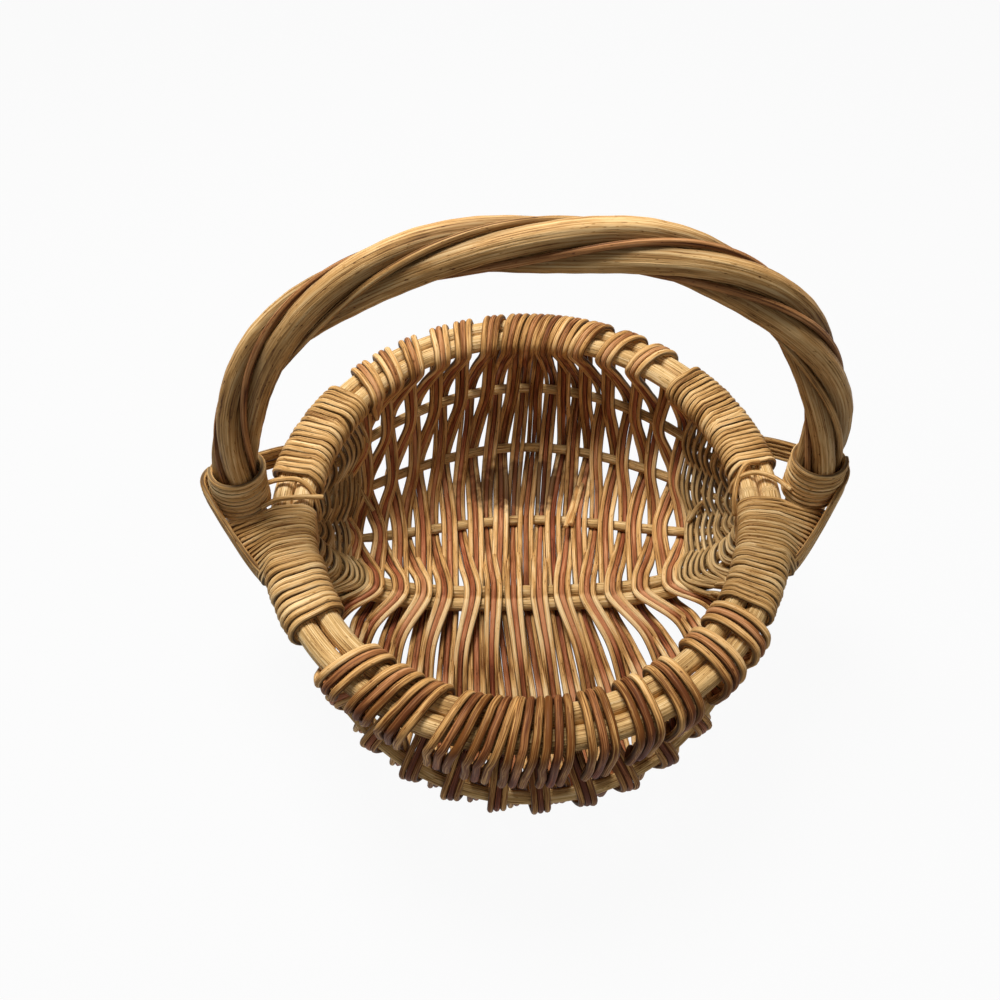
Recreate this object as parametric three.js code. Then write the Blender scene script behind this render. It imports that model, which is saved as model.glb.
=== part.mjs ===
// Buttocks basket: a two-lobed woven bowl on a double rim hoop, with a twisted handle bound to its ears.
// Millimetres, Z up. X runs from ear to ear, the front faces -Y, the bowl stands on Z = 0.
import * as THREE from 'three';

// Weaving strand and the gap left wherever two pieces touch.
const STRAND = 3.2;
const FIT = 0.35;
const STRANDS_PER_BAND = 3;
const BAND_PITCH = 13.7;
const BAND_GAP = 0.6;
const NECK_GAP = 0.54;
const EAR_ROOM = 22;

// How a band runs between two rods: where it bends, and how much of its stand-off it keeps there.
const BEND_SHARE = 0.3;
const BEND_LIFT = 0.75;
const RIM_BEND_SHARE = 0.72;
const RIM_TUCK = 0.85;
const LOOP_START = -30;
const LOOP_STEP = 52;

// Rim hoop: two rods side by side, measured to the line between them.
const RIM_ROD = 9.6;
const RIM_HALF_LENGTH = 111.5;
const RIM_HALF_DEPTH = 120.5;
const RIM_STEPS = 44;

// Frame below the rim: how far each rod spreads in Y and drops in Z at the middle of the bowl.
const KEEL_ROD = 7.6;
const KEEL_DEPTH = 86.7;
const RIB_ROD = 6.0;
const UPPER_RIB_SPREAD = 128;
const UPPER_RIB_DEPTH = 48.4;
const MIDDLE_RIB_SPREAD = 110;
const MIDDLE_RIB_DEPTH = 82;
const LOWER_RIB_SPREAD = 64.3;
const LOWER_RIB_DEPTH = 98;
const SPREAD_EXPONENT = 2;
const DEPTH_EXPONENT = 3.2;
const RIB_END_INSET = 2.5;
const RIB_STEPS = 18;
const FOOT_FLAT = 0.7;
const FOOT_LENGTH = 4;

// Handle: three thick rods twisted together with three strands in the grooves.
const HANDLE_ROD = 9.9;
const HANDLE_HEIGHT = 141;
const HANDLE_EXPONENT = 2.24;
const HANDLE_LEAN = 7.8;
const HANDLE_LEG_DROP = 26;
const TWIST_LEAD = 227;
const TWIST_START = 3.36;
const TWIST_EASE = 0.2;
const HANDLE_STEPS = 30;
const HANDLE_STANDOFF = 2.8;

// Windings of single strand at the ears.
const WIND_GAP = 0.45;
const WIND_STEPS = 8;
const COLLAR_TURNS = 5;
const BARE_EAR = 11;
const BINDING_EASE = 0.07;
const BINDING_END_GAP = 1.8;
const LASH_ROWS = 5;
const LASH_REACH = 46;
const LASH_TOP = 4;
const LASH_FALL = 6;
const EAR_WEAVERS = 4;
const EAR_END_RUN = 4.3;

// Fineness of the drawn shapes.
const ROD_SIDES = 6;
const STRAND_SIDES = 4;
const FINE_STEPS = 720;
const BULGE_STEPS = 8;

// Worked-out sizes.
const BAND_WIDTH = STRANDS_PER_BAND * STRAND;
const PITCH = BAND_PITCH / 2;
const NECK_WIDTH = PITCH - NECK_GAP;
const BAND_PAIRS = Math.max(2, Math.floor((RIM_HALF_LENGTH - EAR_ROOM) / PITCH));
const WIND_PITCH = STRAND + WIND_GAP;
const ROD_OFFSET = (RIM_ROD + FIT) / 2;
const LOWEST = Math.max(LOWER_RIB_DEPTH + RIB_ROD / 2, KEEL_DEPTH + KEEL_ROD / 2);
const RIM_HEIGHT = LOWEST + FIT + STRAND - FOOT_FLAT;
const TWIST_RADIUS = (HANDLE_ROD + FIT + TWIST_EASE) / Math.sqrt(3);
const HANDLE_RADIUS = TWIST_RADIUS + HANDLE_ROD / 2;
const COLLAR_RADIUS = HANDLE_RADIUS + FIT + STRAND / 2;
const STEP_STRETCH = 1 / Math.cos(Math.PI / WIND_STEPS);
const RIM_OUTER = RIM_HALF_LENGTH + ROD_OFFSET + RIM_ROD / 2;
const HANDLE_HALF_WIDTH = RIM_OUTER + HANDLE_STANDOFF + HANDLE_RADIUS;
const COLLAR_BOTTOM = RIM_ROD / 2 + FIT + STRAND / 2;

const group = new THREE.Group();
group.name = 'buttocks_basket';

const paints = {
  rod: new THREE.MeshStandardMaterial({ color: 0xd7b473, roughness: 0.7 }),
  rib: new THREE.MeshStandardMaterial({ color: 0xb98a50, roughness: 0.75 }),
  handle: new THREE.MeshStandardMaterial({ color: 0xb08a52, roughness: 0.75 }),
  weave: new THREE.MeshStandardMaterial({ color: 0xc49a58, roughness: 0.75 }),
  wrap: new THREE.MeshStandardMaterial({ color: 0xcfa662, roughness: 0.75 }),
  red: new THREE.MeshStandardMaterial({ color: 0x9c5f3e, roughness: 0.75 }),
};

function point(x, y, z) {
  return new THREE.Vector3(x, y, z);
}

function unit(a, b) {
  return b.clone().sub(a).normalize();
}

function shift(base, direction, amount) {
  return base.clone().addScaledVector(direction, amount);
}

// Closed body from rings that all have the same number of corners.
function skinRings(name, rings, paint, closed) {
  const sides = rings[0].length;
  const positions = [];
  const faces = [];
  for (const ring of rings) {
    for (const corner of ring) positions.push(corner.x, corner.y, corner.z + RIM_HEIGHT);
  }
  const spans = closed ? rings.length : rings.length - 1;
  for (let i = 0; i < spans; i += 1) {
    const next = (i + 1) % rings.length;
    for (let k = 0; k < sides; k += 1) {
      const turn = (k + 1) % sides;
      const a = i * sides + k;
      const b = i * sides + turn;
      const c = next * sides + turn;
      const d = next * sides + k;
      faces.push(a, b, c, a, c, d);
    }
  }
  if (!closed) {
    const last = (rings.length - 1) * sides;
    for (let k = 1; k < sides - 1; k += 1) {
      faces.push(0, k + 1, k);
      faces.push(last, last + k, last + k + 1);
    }
  }
  const geometry = new THREE.BufferGeometry();
  geometry.setAttribute('position', new THREE.Float32BufferAttribute(positions, 3));
  geometry.setIndex(faces);
  geometry.computeVertexNormals();
  const mesh = new THREE.Mesh(geometry, paint);
  mesh.name = name;
  group.add(mesh);
  return mesh;
}

function tangents(path, closed) {
  const count = path.length;
  return path.map((here, i) => {
    const before = closed ? path[(i + count - 1) % count] : path[Math.max(0, i - 1)];
    const after = closed ? path[(i + 1) % count] : path[Math.min(count - 1, i + 1)];
    return unit(before, after);
  });
}

// Round rod swept along a path; the guide gives a direction across the path at each station.
function addRod(name, path, diameter, sides, paint, guide, closed = false) {
  const along = tangents(path, closed);
  const rings = path.map((here, i) => {
    const first = guide(i).clone().addScaledVector(along[i], -guide(i).dot(along[i])).normalize();
    const second = along[i].clone().cross(first);
    const ring = [];
    for (let k = 0; k < sides; k += 1) {
      const angle = (2 * Math.PI * (k + 0.5)) / sides;
      const spoke = first.clone().multiplyScalar(Math.cos(angle)).addScaledVector(second, Math.sin(angle));
      ring.push(shift(here, spoke, diameter / 2));
    }
    return ring;
  });
  skinRings(name, rings, paint, closed);
}

// Strand carried along its own turning frame, so that a coiled path does not wring it.
function addStrand(name, path, diameter, sides, paint) {
  const along = tangents(path, false);
  let carried = Math.abs(along[0].z) < 0.8 ? point(0, 0, 1) : point(1, 0, 0);
  const guides = along.map((tangent) => {
    carried = carried.clone().addScaledVector(tangent, -carried.dot(tangent)).normalize();
    return carried;
  });
  addRod(name, path, diameter, sides, paint, (i) => guides[i]);
}

// Rim line: an ellipse in the plane Z = 0.
function rimPoint(angle, inward) {
  const x = RIM_HALF_LENGTH * Math.cos(angle);
  const y = RIM_HALF_DEPTH * Math.sin(angle);
  const normal = rimNormal(angle);
  return point(x + normal.x * inward, y + normal.y * inward, 0);
}

function rimNormal(angle) {
  return point(-Math.cos(angle) / RIM_HALF_LENGTH, -Math.sin(angle) / RIM_HALF_DEPTH, 0).normalize();
}

function rimAngleAtX(x, side) {
  return side * Math.acos(THREE.MathUtils.clamp(x / RIM_HALF_LENGTH, -1, 1));
}

function rimAngleAtArc(ear, side, arc) {
  const sweep = Math.PI / 2;
  let travelled = 0;
  let before = rimPoint(ear > 0 ? 0 : Math.PI, 0);
  for (let i = 1; i <= FINE_STEPS; i += 1) {
    const turn = (sweep * i) / FINE_STEPS;
    const angle = ear > 0 ? side * turn : Math.PI - side * turn;
    const here = rimPoint(angle, 0);
    travelled += here.distanceTo(before);
    if (travelled >= arc) return angle;
    before = here;
  }
  return ear > 0 ? side * sweep : Math.PI - side * sweep;
}

function rimArc(fromAngle, toAngle) {
  let travelled = 0;
  for (let i = 0; i < FINE_STEPS; i += 1) {
    const before = rimPoint(fromAngle + ((toAngle - fromAngle) * i) / FINE_STEPS, 0);
    const after = rimPoint(fromAngle + ((toAngle - fromAngle) * (i + 1)) / FINE_STEPS, 0);
    travelled += before.distanceTo(after);
  }
  return travelled;
}

function addRimRod(name, inward) {
  const path = [];
  for (let i = 0; i < RIM_STEPS; i += 1) path.push(rimPoint((2 * Math.PI * i) / RIM_STEPS, inward));
  addRod(name, path, RIM_ROD, ROD_SIDES, paints.rod, () => point(0, 0, 1), true);
}

// Frame rods: curves from ear to ear, kept as point lists with X rising.
function fall(x, exponent) {
  const share = Math.min(1, Math.abs(x) / RIM_HALF_LENGTH);
  return Math.pow(1 - Math.pow(share, exponent), 1 / exponent);
}

// Points at even steps of length along a finely drawn line.
function evenSteps(fine, steps) {
  const arcs = [0];
  for (let i = 1; i < fine.length; i += 1) arcs.push(arcs[i - 1] + fine[i].distanceTo(fine[i - 1]));
  const total = arcs[arcs.length - 1];
  const line = [];
  let k = 0;
  for (let i = 0; i <= steps; i += 1) {
    const want = (total * i) / steps;
    while (k < arcs.length - 2 && arcs[k + 1] < want) k += 1;
    const share = (want - arcs[k]) / (arcs[k + 1] - arcs[k]);
    line.push(fine[k].clone().lerp(fine[k + 1], share));
  }
  line.total = total;
  return line;
}

function ribLine(spread, depth) {
  const end = RIM_HALF_LENGTH - RIB_END_INSET;
  const fine = [];
  for (let i = 0; i <= FINE_STEPS; i += 1) {
    const x = -end * Math.cos((Math.PI * i) / FINE_STEPS);
    fine.push(point(x, spread * fall(x, SPREAD_EXPONENT), -depth * fall(x, DEPTH_EXPONENT)));
  }
  return evenSteps(fine, RIB_STEPS);
}

// The keel rises until it butts against the underside of the rim.
function keelLine(offset) {
  const stop = RIM_ROD / 2 + FIT;
  const lowest = Math.asin(Math.pow(stop / KEEL_DEPTH, DEPTH_EXPONENT / 2));
  const fine = [];
  for (let i = 0; i <= FINE_STEPS; i += 1) {
    const angle = lowest + ((Math.PI - 2 * lowest) * i) / FINE_STEPS;
    const cosine = -Math.cos(angle);
    const x = RIM_HALF_LENGTH * Math.sign(cosine) * Math.pow(Math.abs(cosine), 2 / DEPTH_EXPONENT);
    fine.push(point(x, offset, -KEEL_DEPTH * Math.pow(Math.sin(angle), 2 / DEPTH_EXPONENT)));
  }
  return evenSteps(fine, RIB_STEPS);
}

function lineAtX(line, x) {
  let i = 0;
  while (i < line.length - 2 && line[i + 1].x < x) i += 1;
  const share = (x - line[i].x) / (line[i + 1].x - line[i].x);
  return line[i].clone().lerp(line[i + 1], share);
}

const frame = [
  { name: 'rib_front_upper', size: RIB_ROD, line: ribLine(-UPPER_RIB_SPREAD, UPPER_RIB_DEPTH) },
  { name: 'rib_front_middle', size: RIB_ROD, line: ribLine(-MIDDLE_RIB_SPREAD, MIDDLE_RIB_DEPTH) },
  { name: 'rib_front_lower', size: RIB_ROD, line: ribLine(-LOWER_RIB_SPREAD, LOWER_RIB_DEPTH), foot: true },
  { name: 'keel_rod_front', size: KEEL_ROD, line: keelLine(-(KEEL_ROD + FIT) / 2), level: true },
  { name: 'keel_rod_back', size: KEEL_ROD, line: keelLine((KEEL_ROD + FIT) / 2), level: true },
  { name: 'rib_back_lower', size: RIB_ROD, line: ribLine(LOWER_RIB_SPREAD, LOWER_RIB_DEPTH), foot: true },
  { name: 'rib_back_middle', size: RIB_ROD, line: ribLine(MIDDLE_RIB_SPREAD, MIDDLE_RIB_DEPTH) },
  { name: 'rib_back_upper', size: RIB_ROD, line: ribLine(UPPER_RIB_SPREAD, UPPER_RIB_DEPTH) },
];
// Side of each frame rod that the first pass lies on: +1 outside the bowl, -1 inside.
const FIRST_SIDES = [1, -1, 1, -1, -1, 1, -1, 1];

function across(line, x, width) {
  return unit(lineAtX(line, x - width / 2), lineAtX(line, x + width / 2));
}

// Where a band crosses a frame rod: middle, direction of the rod, run of the wall, outward normal, stand-off.
function crossing(index, x, width, thick) {
  const rod = frame[index];
  const half = width / 2;
  const low = lineAtX(rod.line, x - half);
  const high = lineAtX(rod.line, x + half);
  const middle = low.clone().lerp(high, 0.5);
  const rodWay = unit(low, high);
  const previous = frame[index - 1];
  const following = frame[index + 1];
  const before = previous ? lineAtX(previous.line, x) : rimPoint(rimAngleAtX(x, -1), 0);
  const after = following ? lineAtX(following.line, x) : rimPoint(rimAngleAtX(x, 1), 0);
  const run = rod.level ? point(0, 1, 0) : unit(before, after);
  const outward = run.clone().cross(rodWay).normalize();
  let bulgeOut = 0;
  let bulgeIn = 0;
  for (let i = 0; i <= BULGE_STEPS; i += 1) {
    const lift = lineAtX(rod.line, x - half + (width * i) / BULGE_STEPS).sub(middle).dot(outward);
    bulgeOut = Math.max(bulgeOut, lift);
    bulgeIn = Math.max(bulgeIn, -lift);
  }
  const stand = rod.size / 2 + FIT + thick / 2;
  let room = width;
  for (const way of [-1, 1]) {
    const besideX = x + way * 2 * PITCH;
    const turn = rodWay.angleTo(across(rod.line, besideX, width));
    const gap = lineAtX(rod.line, besideX).distanceTo(lineAtX(rod.line, x));
    room = Math.min(room, gap - BAND_GAP - (stand + thick / 2) * turn);
  }
  const stands = { out: stand + bulgeOut, in: stand + bulgeIn };
  return { middle, rodWay, run, outward, room, ...stands, foot: rod.foot };
}

// Smooth line of the wall between two places, leaving and arriving along the given runs.
function wallPoint(from, fromRun, to, toRun, share) {
  const length = from.distanceTo(to);
  const square = share * share;
  const cube = square * share;
  return from.clone().multiplyScalar(2 * cube - 3 * square + 1)
    .addScaledVector(fromRun, length * (cube - 2 * square + share))
    .addScaledVector(to, 3 * square - 2 * cube)
    .addScaledVector(toRun, length * (cube - square));
}

// One pass of weaving from the front rim to the back rim, as stations with a width direction.
function passStations(x, parity, width, neck, thick) {
  const spots = frame.map((rod, i) => {
    const spot = crossing(i, x, width, thick);
    const side = parity === 0 ? FIRST_SIDES[i] : -FIRST_SIDES[i];
    const lift = side > 0 ? spot.out : -spot.in;
    return { ...spot, side, lift, width: side > 0 ? width : spot.room };
  });
  const stations = [];
  const first = spots[0];
  const last = spots[spots.length - 1];
  const rimFront = { ...first, middle: rimPoint(rimAngleAtX(x, -1), 0), run: point(0, 0, -1) };
  const rimBack = { ...last, middle: rimPoint(rimAngleAtX(x, 1), 0), run: point(0, 0, 1) };
  const rimLift = BAND_GAP + thick * RIM_TUCK;
  function bend(from, to, share, lift) {
    const outward = from.outward.clone().add(to.outward).normalize();
    const rodWay = from.rodWay.clone().add(to.rodWay).normalize();
    const at = shift(wallPoint(from.middle, from.run, to.middle, to.run, share), outward, lift);
    stations.push({ at, across: rodWay, width: neck, thick });
  }
  bend(rimFront, first, 1 - RIM_BEND_SHARE, -first.side * rimLift);
  bend(rimFront, first, 1 - BEND_SHARE, first.lift * BEND_LIFT);
  spots.forEach((here, i) => {
    const next = spots[i + 1];
    const at = shift(here.middle, here.outward, here.lift);
    const shape = { across: here.rodWay, width: here.width, thick };
    if (here.foot && here.side > 0) {
      stations.push({ ...shape, at: shift(at, here.run, -FOOT_LENGTH / 2), foot: true });
      stations.push({ ...shape, at: shift(at, here.run, FOOT_LENGTH / 2), foot: true });
    } else {
      stations.push({ ...shape, at });
    }
    if (!next || next.side === here.side) return;
    bend(here, next, BEND_SHARE, here.lift * BEND_LIFT);
    bend(here, next, 1 - BEND_SHARE, next.lift * BEND_LIFT);
  });
  bend(last, rimBack, BEND_SHARE, last.lift * BEND_LIFT);
  bend(last, rimBack, RIM_BEND_SHARE, -last.side * rimLift);
  return stations;
}

const LOOP_ANGLES = [0, 1, 2].map((i) => THREE.MathUtils.degToRad(LOOP_START + i * LOOP_STEP));
const LOOP_STRETCH = 1 / Math.cos(THREE.MathUtils.degToRad(LOOP_STEP / 2));
const LOOP_RADIUS = (RIM_ROD / 2 + FIT + STRAND / 2) * LOOP_STRETCH;
const RIM_TIGHTEST = (RIM_HALF_LENGTH * RIM_HALF_LENGTH) / RIM_HALF_DEPTH;

// Half a loop over the rim: from beside one rod up to the top, on the inner (+1) or outer (-1) rod.
function loopStations(x, rimSide, rodSide) {
  const angle = rimAngleAtX(x, rimSide);
  const inward = rimNormal(angle);
  const step = BAND_WIDTH / 2 / RIM_HALF_LENGTH;
  const before = rimPoint(angle - step, 0);
  const after = rimPoint(angle + step, 0);
  const across = unit(before, after);
  if (across.x < 0) across.negate();
  const middle = rimPoint(angle, 0);
  return LOOP_ANGLES.map((turn) => {
    const reach = rodSide * (ROD_OFFSET + LOOP_RADIUS * Math.cos(turn));
    const room = 2 * PITCH * (1 - Math.max(0, reach) / RIM_TIGHTEST) - BAND_GAP;
    const at = shift(middle, inward, reach);
    at.z = LOOP_RADIUS * Math.sin(turn);
    return { at, across, width: Math.min(BAND_WIDTH, room), thick: STRAND };
  });
}

function loopEnd(x, rimSide, rodSide) {
  const top = loopStations(x, rimSide, rodSide)[2];
  const inward = rimNormal(rimAngleAtX(x, rimSide));
  const at = shift(rimPoint(rimAngleAtX(x, rimSide), 0), inward, (rodSide * BAND_GAP) / 2);
  at.z = top.at.z;
  return { ...top, at };
}

// Flat band of side-by-side strands, skinned as one body through its stations.
function addBand(name, stations, paint) {
  const along = tangents(stations.map((station) => station.at), false);
  const rings = stations.map((station, i) => {
    const normal = along[i].clone().cross(station.across).normalize();
    const ring = [];
    for (const [across, lift] of [[-1, -1], [1, -1], [1, 1], [-1, 1]]) {
      const edge = shift(station.at, station.across, (across * station.width) / 2);
      const corner = shift(edge, normal, (lift * station.thick) / 2);
      if (station.foot) corner.z = Math.max(corner.z, -RIM_HEIGHT);
      ring.push(corner);
    }
    return ring;
  });
  skinRings(name, rings, paint, false);
}

function passX(index) {
  return (index - (2 * BAND_PAIRS - 1) / 2) * PITCH;
}

function addWeavers() {
  const half = PITCH / 2;
  for (let pair = 0; pair < BAND_PAIRS; pair += 1) {
    const upX = passX(2 * pair);
    const downX = passX(2 * pair + 1);
    const up = passStations(upX, 0, BAND_WIDTH, NECK_WIDTH, STRAND);
    const down = passStations(downX, 1, BAND_WIDTH, NECK_WIDTH, STRAND).reverse();
    const stations = [
      loopEnd(upX - half, -1, 1),
      ...loopStations(upX - half, -1, 1).reverse(),
      ...up,
      ...loopStations(upX + half, 1, 1),
      ...loopStations(upX + half, 1, -1).reverse(),
      ...down,
      ...loopStations(downX + half, -1, -1),
      loopEnd(downX + half, -1, -1),
    ];
    addBand(`weaver_${String(pair + 1).padStart(2, '0')}`, stations, paints.weave);
  }
}

// Single strands that close the weave beside each ear and end under the rim bindings.
function addEarWeavers() {
  const first = passX(2 * BAND_PAIRS - 1) + BAND_WIDTH / 2 + FIT + STRAND / 2;
  const pitch = STRAND + BAND_GAP;
  const under = -(RIM_ROD / 2 + FIT + STRAND + FIT);
  for (const [side, label] of [[-1, 'left'], [1, 'right']]) {
    for (let i = 0; i < EAR_WEAVERS; i += 1) {
      const x = side * (first + i * pitch);
      const parity = side > 0 ? i % 2 : (i + 1) % 2;
      const stations = passStations(x, parity, STRAND, STRAND, STRAND).slice(1, -1);
      const path = stations.map((station) => station.at);
      for (const rimSide of [-1, 1]) {
        const top = rimPoint(rimAngleAtX(x, rimSide), 0);
        const ends = [point(top.x, top.y, under - EAR_END_RUN), point(top.x, top.y, under)];
        if (rimSide < 0) path.unshift(ends[1], ends[0]);
        else path.push(ends[0], ends[1]);
      }
      addRod(`ear_weaver_${label}_${i + 1}`, path, STRAND, STRAND_SIDES, paints.wrap, () => point(1, 0, 0));
    }
  }
}

// Least gap between two stretches of one strand that are not neighbours along it.
function leastSelfGap(path, diameter) {
  const neighbouring = 4 * diameter;
  const fine = [];
  let travelled = 0;
  for (let i = 0; i < path.length - 1; i += 1) {
    const length = path[i].distanceTo(path[i + 1]);
    const pieces = Math.max(1, Math.ceil(length));
    for (let k = 0; k < pieces; k += 1) {
      const at = path[i].clone().lerp(path[i + 1], k / pieces);
      fine.push({ at, arc: travelled + (length * k) / pieces });
    }
    travelled += length;
  }
  let least = Infinity;
  for (let i = 0; i < fine.length; i += 1) {
    for (let k = i + 1; k < fine.length; k += 1) {
      if (fine[k].arc - fine[i].arc < neighbouring) continue;
      least = Math.min(least, fine[i].at.distanceTo(fine[k].at));
    }
  }
  return least - diameter;
}

function addWinding(name, path) {
  addStrand(name, path, STRAND, STRAND_SIDES, paints.wrap);
  console.log(`${name}: least gap to itself ${leastSelfGap(path, STRAND).toFixed(2)} mm`);
}

// Binding round both rim rods, from the bare ear to the first band of the weave.
function addRimBinding(name, ear, side) {
  const lastLoop = passX(2 * BAND_PAIRS - 1) + PITCH / 2;
  const earAngle = ear > 0 ? 0 : side * Math.PI;
  const arcToLoop = rimArc(earAngle, rimAngleAtX(ear * lastLoop, side));
  const arcEnd = arcToLoop - BAND_WIDTH / 2 - STRAND / 2 - BINDING_END_GAP;
  const radius = (RIM_ROD / 2 + FIT + STRAND / 2) * STEP_STRETCH;
  const inside = 1 - (ROD_OFFSET + radius) / RIM_TIGHTEST;
  const turns = Math.max(2, Math.floor(((arcEnd - BARE_EAR) * inside) / (WIND_PITCH + BINDING_EASE)));
  const path = [];
  for (let i = 0; i <= turns * WIND_STEPS; i += 1) {
    const angle = rimAngleAtArc(ear, side, BARE_EAR + (arcEnd - BARE_EAR) * (i / (turns * WIND_STEPS)));
    const turn = (2 * Math.PI * (i + 0.5)) / WIND_STEPS - Math.PI;
    const reach = Math.sign(Math.cos(turn)) * ROD_OFFSET + radius * Math.cos(turn);
    const at = shift(rimPoint(angle, 0), rimNormal(angle), -reach);
    at.z = radius * Math.sin(turn);
    path.push(at);
  }
  addWinding(name, path);
}

function legX(side, z) {
  const share = Math.max(0, z) / HANDLE_HEIGHT;
  const narrow = Math.pow(1 - Math.pow(share, HANDLE_EXPONENT), 1 / HANDLE_EXPONENT);
  return side * HANDLE_HALF_WIDTH * narrow + HANDLE_LEAN * share;
}

// Collar round the foot of a handle leg.
function addCollar(name, side) {
  const radius = COLLAR_RADIUS * STEP_STRETCH;
  const path = [];
  for (let i = 0; i <= COLLAR_TURNS * WIND_STEPS; i += 1) {
    const turn = (2 * Math.PI * (i + 0.5)) / WIND_STEPS;
    const z = COLLAR_BOTTOM + (WIND_PITCH * i) / WIND_STEPS;
    path.push(point(legX(side, z) - side * radius * Math.cos(turn), radius * Math.sin(turn), z));
  }
  addWinding(name, path);
}

// Lashing: rows of one strand carried from the rim round the outside of the handle leg and back.
function addLashing(name, side) {
  const angle = rimAngleAtArc(side, 1, LASH_REACH);
  const outward = rimNormal(angle).negate();
  const bindingReach = ROD_OFFSET + RIM_ROD / 2 + FIT + STRAND;
  const end = shift(rimPoint(angle, 0), outward, bindingReach);
  const anchor = shift(end, outward, STRAND / 2);
  const lead = shift(anchor, outward, STRAND);
  const radius = COLLAR_RADIUS;
  const axis = side * HANDLE_HALF_WIDTH;
  const reach = Math.hypot(lead.x - axis, lead.y);
  const spread = Math.atan2(lead.y, side * (lead.x - axis)) - Math.acos(radius / reach);
  const row = [anchor, lead];
  for (const share of [1, 0.5, 0, -0.5, -1]) {
    const turn = spread * share;
    const stretched = radius / Math.cos(spread / 4);
    row.push(point(axis + side * stretched * Math.cos(turn), stretched * Math.sin(turn), -LASH_FALL));
  }
  row.push(point(lead.x, -lead.y, 0), point(anchor.x, -anchor.y, 0));
  const slope = Math.atan2(LASH_FALL, reach - radius);
  const pitch = (STRAND + WIND_GAP) / Math.cos(slope);
  const path = [];
  for (let i = 0; i < LASH_ROWS; i += 1) {
    const level = LASH_TOP - i * pitch;
    const ordered = i % 2 === 0 ? row : [...row].reverse();
    ordered.forEach((at) => path.push(point(at.x, at.y, at.z + level)));
  }
  const finish = path[path.length - 1];
  path.unshift(point(end.x, end.y, path[0].z));
  path.push(point(end.x, Math.sign(finish.y) * Math.abs(end.y), finish.z));
  addWinding(name, path);
}

// Handle line from the left foot over the top to the right foot, at even steps of length.
function handleLine() {
  const fine = [];
  for (let z = -HANDLE_LEG_DROP; z < 0; z += 1) fine.push(point(-HANDLE_HALF_WIDTH, 0, z));
  for (let i = 0; i <= FINE_STEPS; i += 1) {
    const angle = (Math.PI * i) / FINE_STEPS;
    const cosine = -Math.cos(angle);
    const rise = Math.pow(Math.max(0, Math.sin(angle)), 2 / HANDLE_EXPONENT);
    const x = HANDLE_HALF_WIDTH * Math.sign(cosine) * Math.pow(Math.abs(cosine), 2 / HANDLE_EXPONENT);
    fine.push(point(x + HANDLE_LEAN * rise, 0, HANDLE_HEIGHT * rise));
  }
  for (let z = -1; z >= -HANDLE_LEG_DROP; z -= 1) fine.push(point(HANDLE_HALF_WIDTH, 0, z));
  return evenSteps(fine, HANDLE_STEPS);
}

function addHandle() {
  const line = handleLine();
  const along = tangents(line, false);
  const front = point(0, -1, 0);
  const reach = (HANDLE_ROD + STRAND) / 2 + FIT;
  const half = TWIST_RADIUS * Math.sin(Math.PI / 3);
  const grooveRadius = TWIST_RADIUS * Math.cos(Math.PI / 3) + Math.sqrt(reach * reach - half * half);
  function twisted(radius, start) {
    return line.map((at, i) => {
      const outward = front.clone().cross(along[i]);
      const turn = start - (2 * Math.PI * line.total * i) / (HANDLE_STEPS * TWIST_LEAD);
      const spoke = outward.multiplyScalar(Math.cos(turn)).addScaledVector(front, Math.sin(turn));
      return shift(at, spoke, radius);
    });
  }
  for (let i = 0; i < 3; i += 1) {
    const start = TWIST_START + (2 * Math.PI * i) / 3;
    const thick = twisted(TWIST_RADIUS, start);
    addRod(`handle_rod_${i + 1}`, thick, HANDLE_ROD, ROD_SIDES, paints.handle, () => front);
    const groove = twisted(grooveRadius, start + Math.PI / 3);
    const paint = i === 1 ? paints.wrap : paints.red;
    addRod(`handle_strand_${i + 1}`, groove, STRAND, STRAND_SIDES, paint, () => front);
  }
}

addRimRod('rim_rod_outer', -ROD_OFFSET);
addRimRod('rim_rod_inner', ROD_OFFSET);
const nearlyLevel = point(0, 1, 0.001);
for (const rod of frame) addRod(rod.name, rod.line, rod.size, ROD_SIDES, paints.rib, () => nearlyLevel);
addWeavers();
addEarWeavers();
for (const [ear, label] of [[-1, 'left'], [1, 'right']]) {
  addRimBinding(`rim_binding_${label}_front`, ear, -1);
  addRimBinding(`rim_binding_${label}_back`, ear, 1);
  addCollar(`handle_collar_${label}`, ear);
  addLashing(`ear_lashing_${label}`, ear);
}
addHandle();

export default group;
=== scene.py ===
# %% [markdown]
# # A buttocks basket, strand by strand
# A frame basket starts as a hoop, two keel rods and a few ribs. Long round strands are then woven over
# and under those rods from rim to rim, and the two ears are wound with finer strand where the handle
# stands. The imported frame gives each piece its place. This script builds every rod and every strand
# again as a smooth round tube, gives it a grained finish, and sets up the light and the camera.

# %% Load the frame
import math

import bpy
import numpy as np
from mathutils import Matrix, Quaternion, Vector


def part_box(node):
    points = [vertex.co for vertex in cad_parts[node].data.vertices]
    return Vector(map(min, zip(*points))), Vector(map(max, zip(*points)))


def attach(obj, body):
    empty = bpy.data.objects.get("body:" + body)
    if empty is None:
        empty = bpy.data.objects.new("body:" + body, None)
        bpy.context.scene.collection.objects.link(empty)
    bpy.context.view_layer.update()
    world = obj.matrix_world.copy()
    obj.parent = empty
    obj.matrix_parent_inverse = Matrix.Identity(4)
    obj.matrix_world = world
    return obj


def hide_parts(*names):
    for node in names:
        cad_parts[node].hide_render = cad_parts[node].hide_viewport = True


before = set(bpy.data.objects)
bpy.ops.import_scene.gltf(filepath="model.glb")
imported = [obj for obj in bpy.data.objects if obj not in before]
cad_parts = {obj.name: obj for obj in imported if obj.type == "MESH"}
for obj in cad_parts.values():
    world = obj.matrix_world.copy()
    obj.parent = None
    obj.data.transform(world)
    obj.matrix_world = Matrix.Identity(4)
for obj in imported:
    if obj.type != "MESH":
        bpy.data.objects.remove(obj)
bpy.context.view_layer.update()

print("frame loaded with", len(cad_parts), "pieces")

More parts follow.
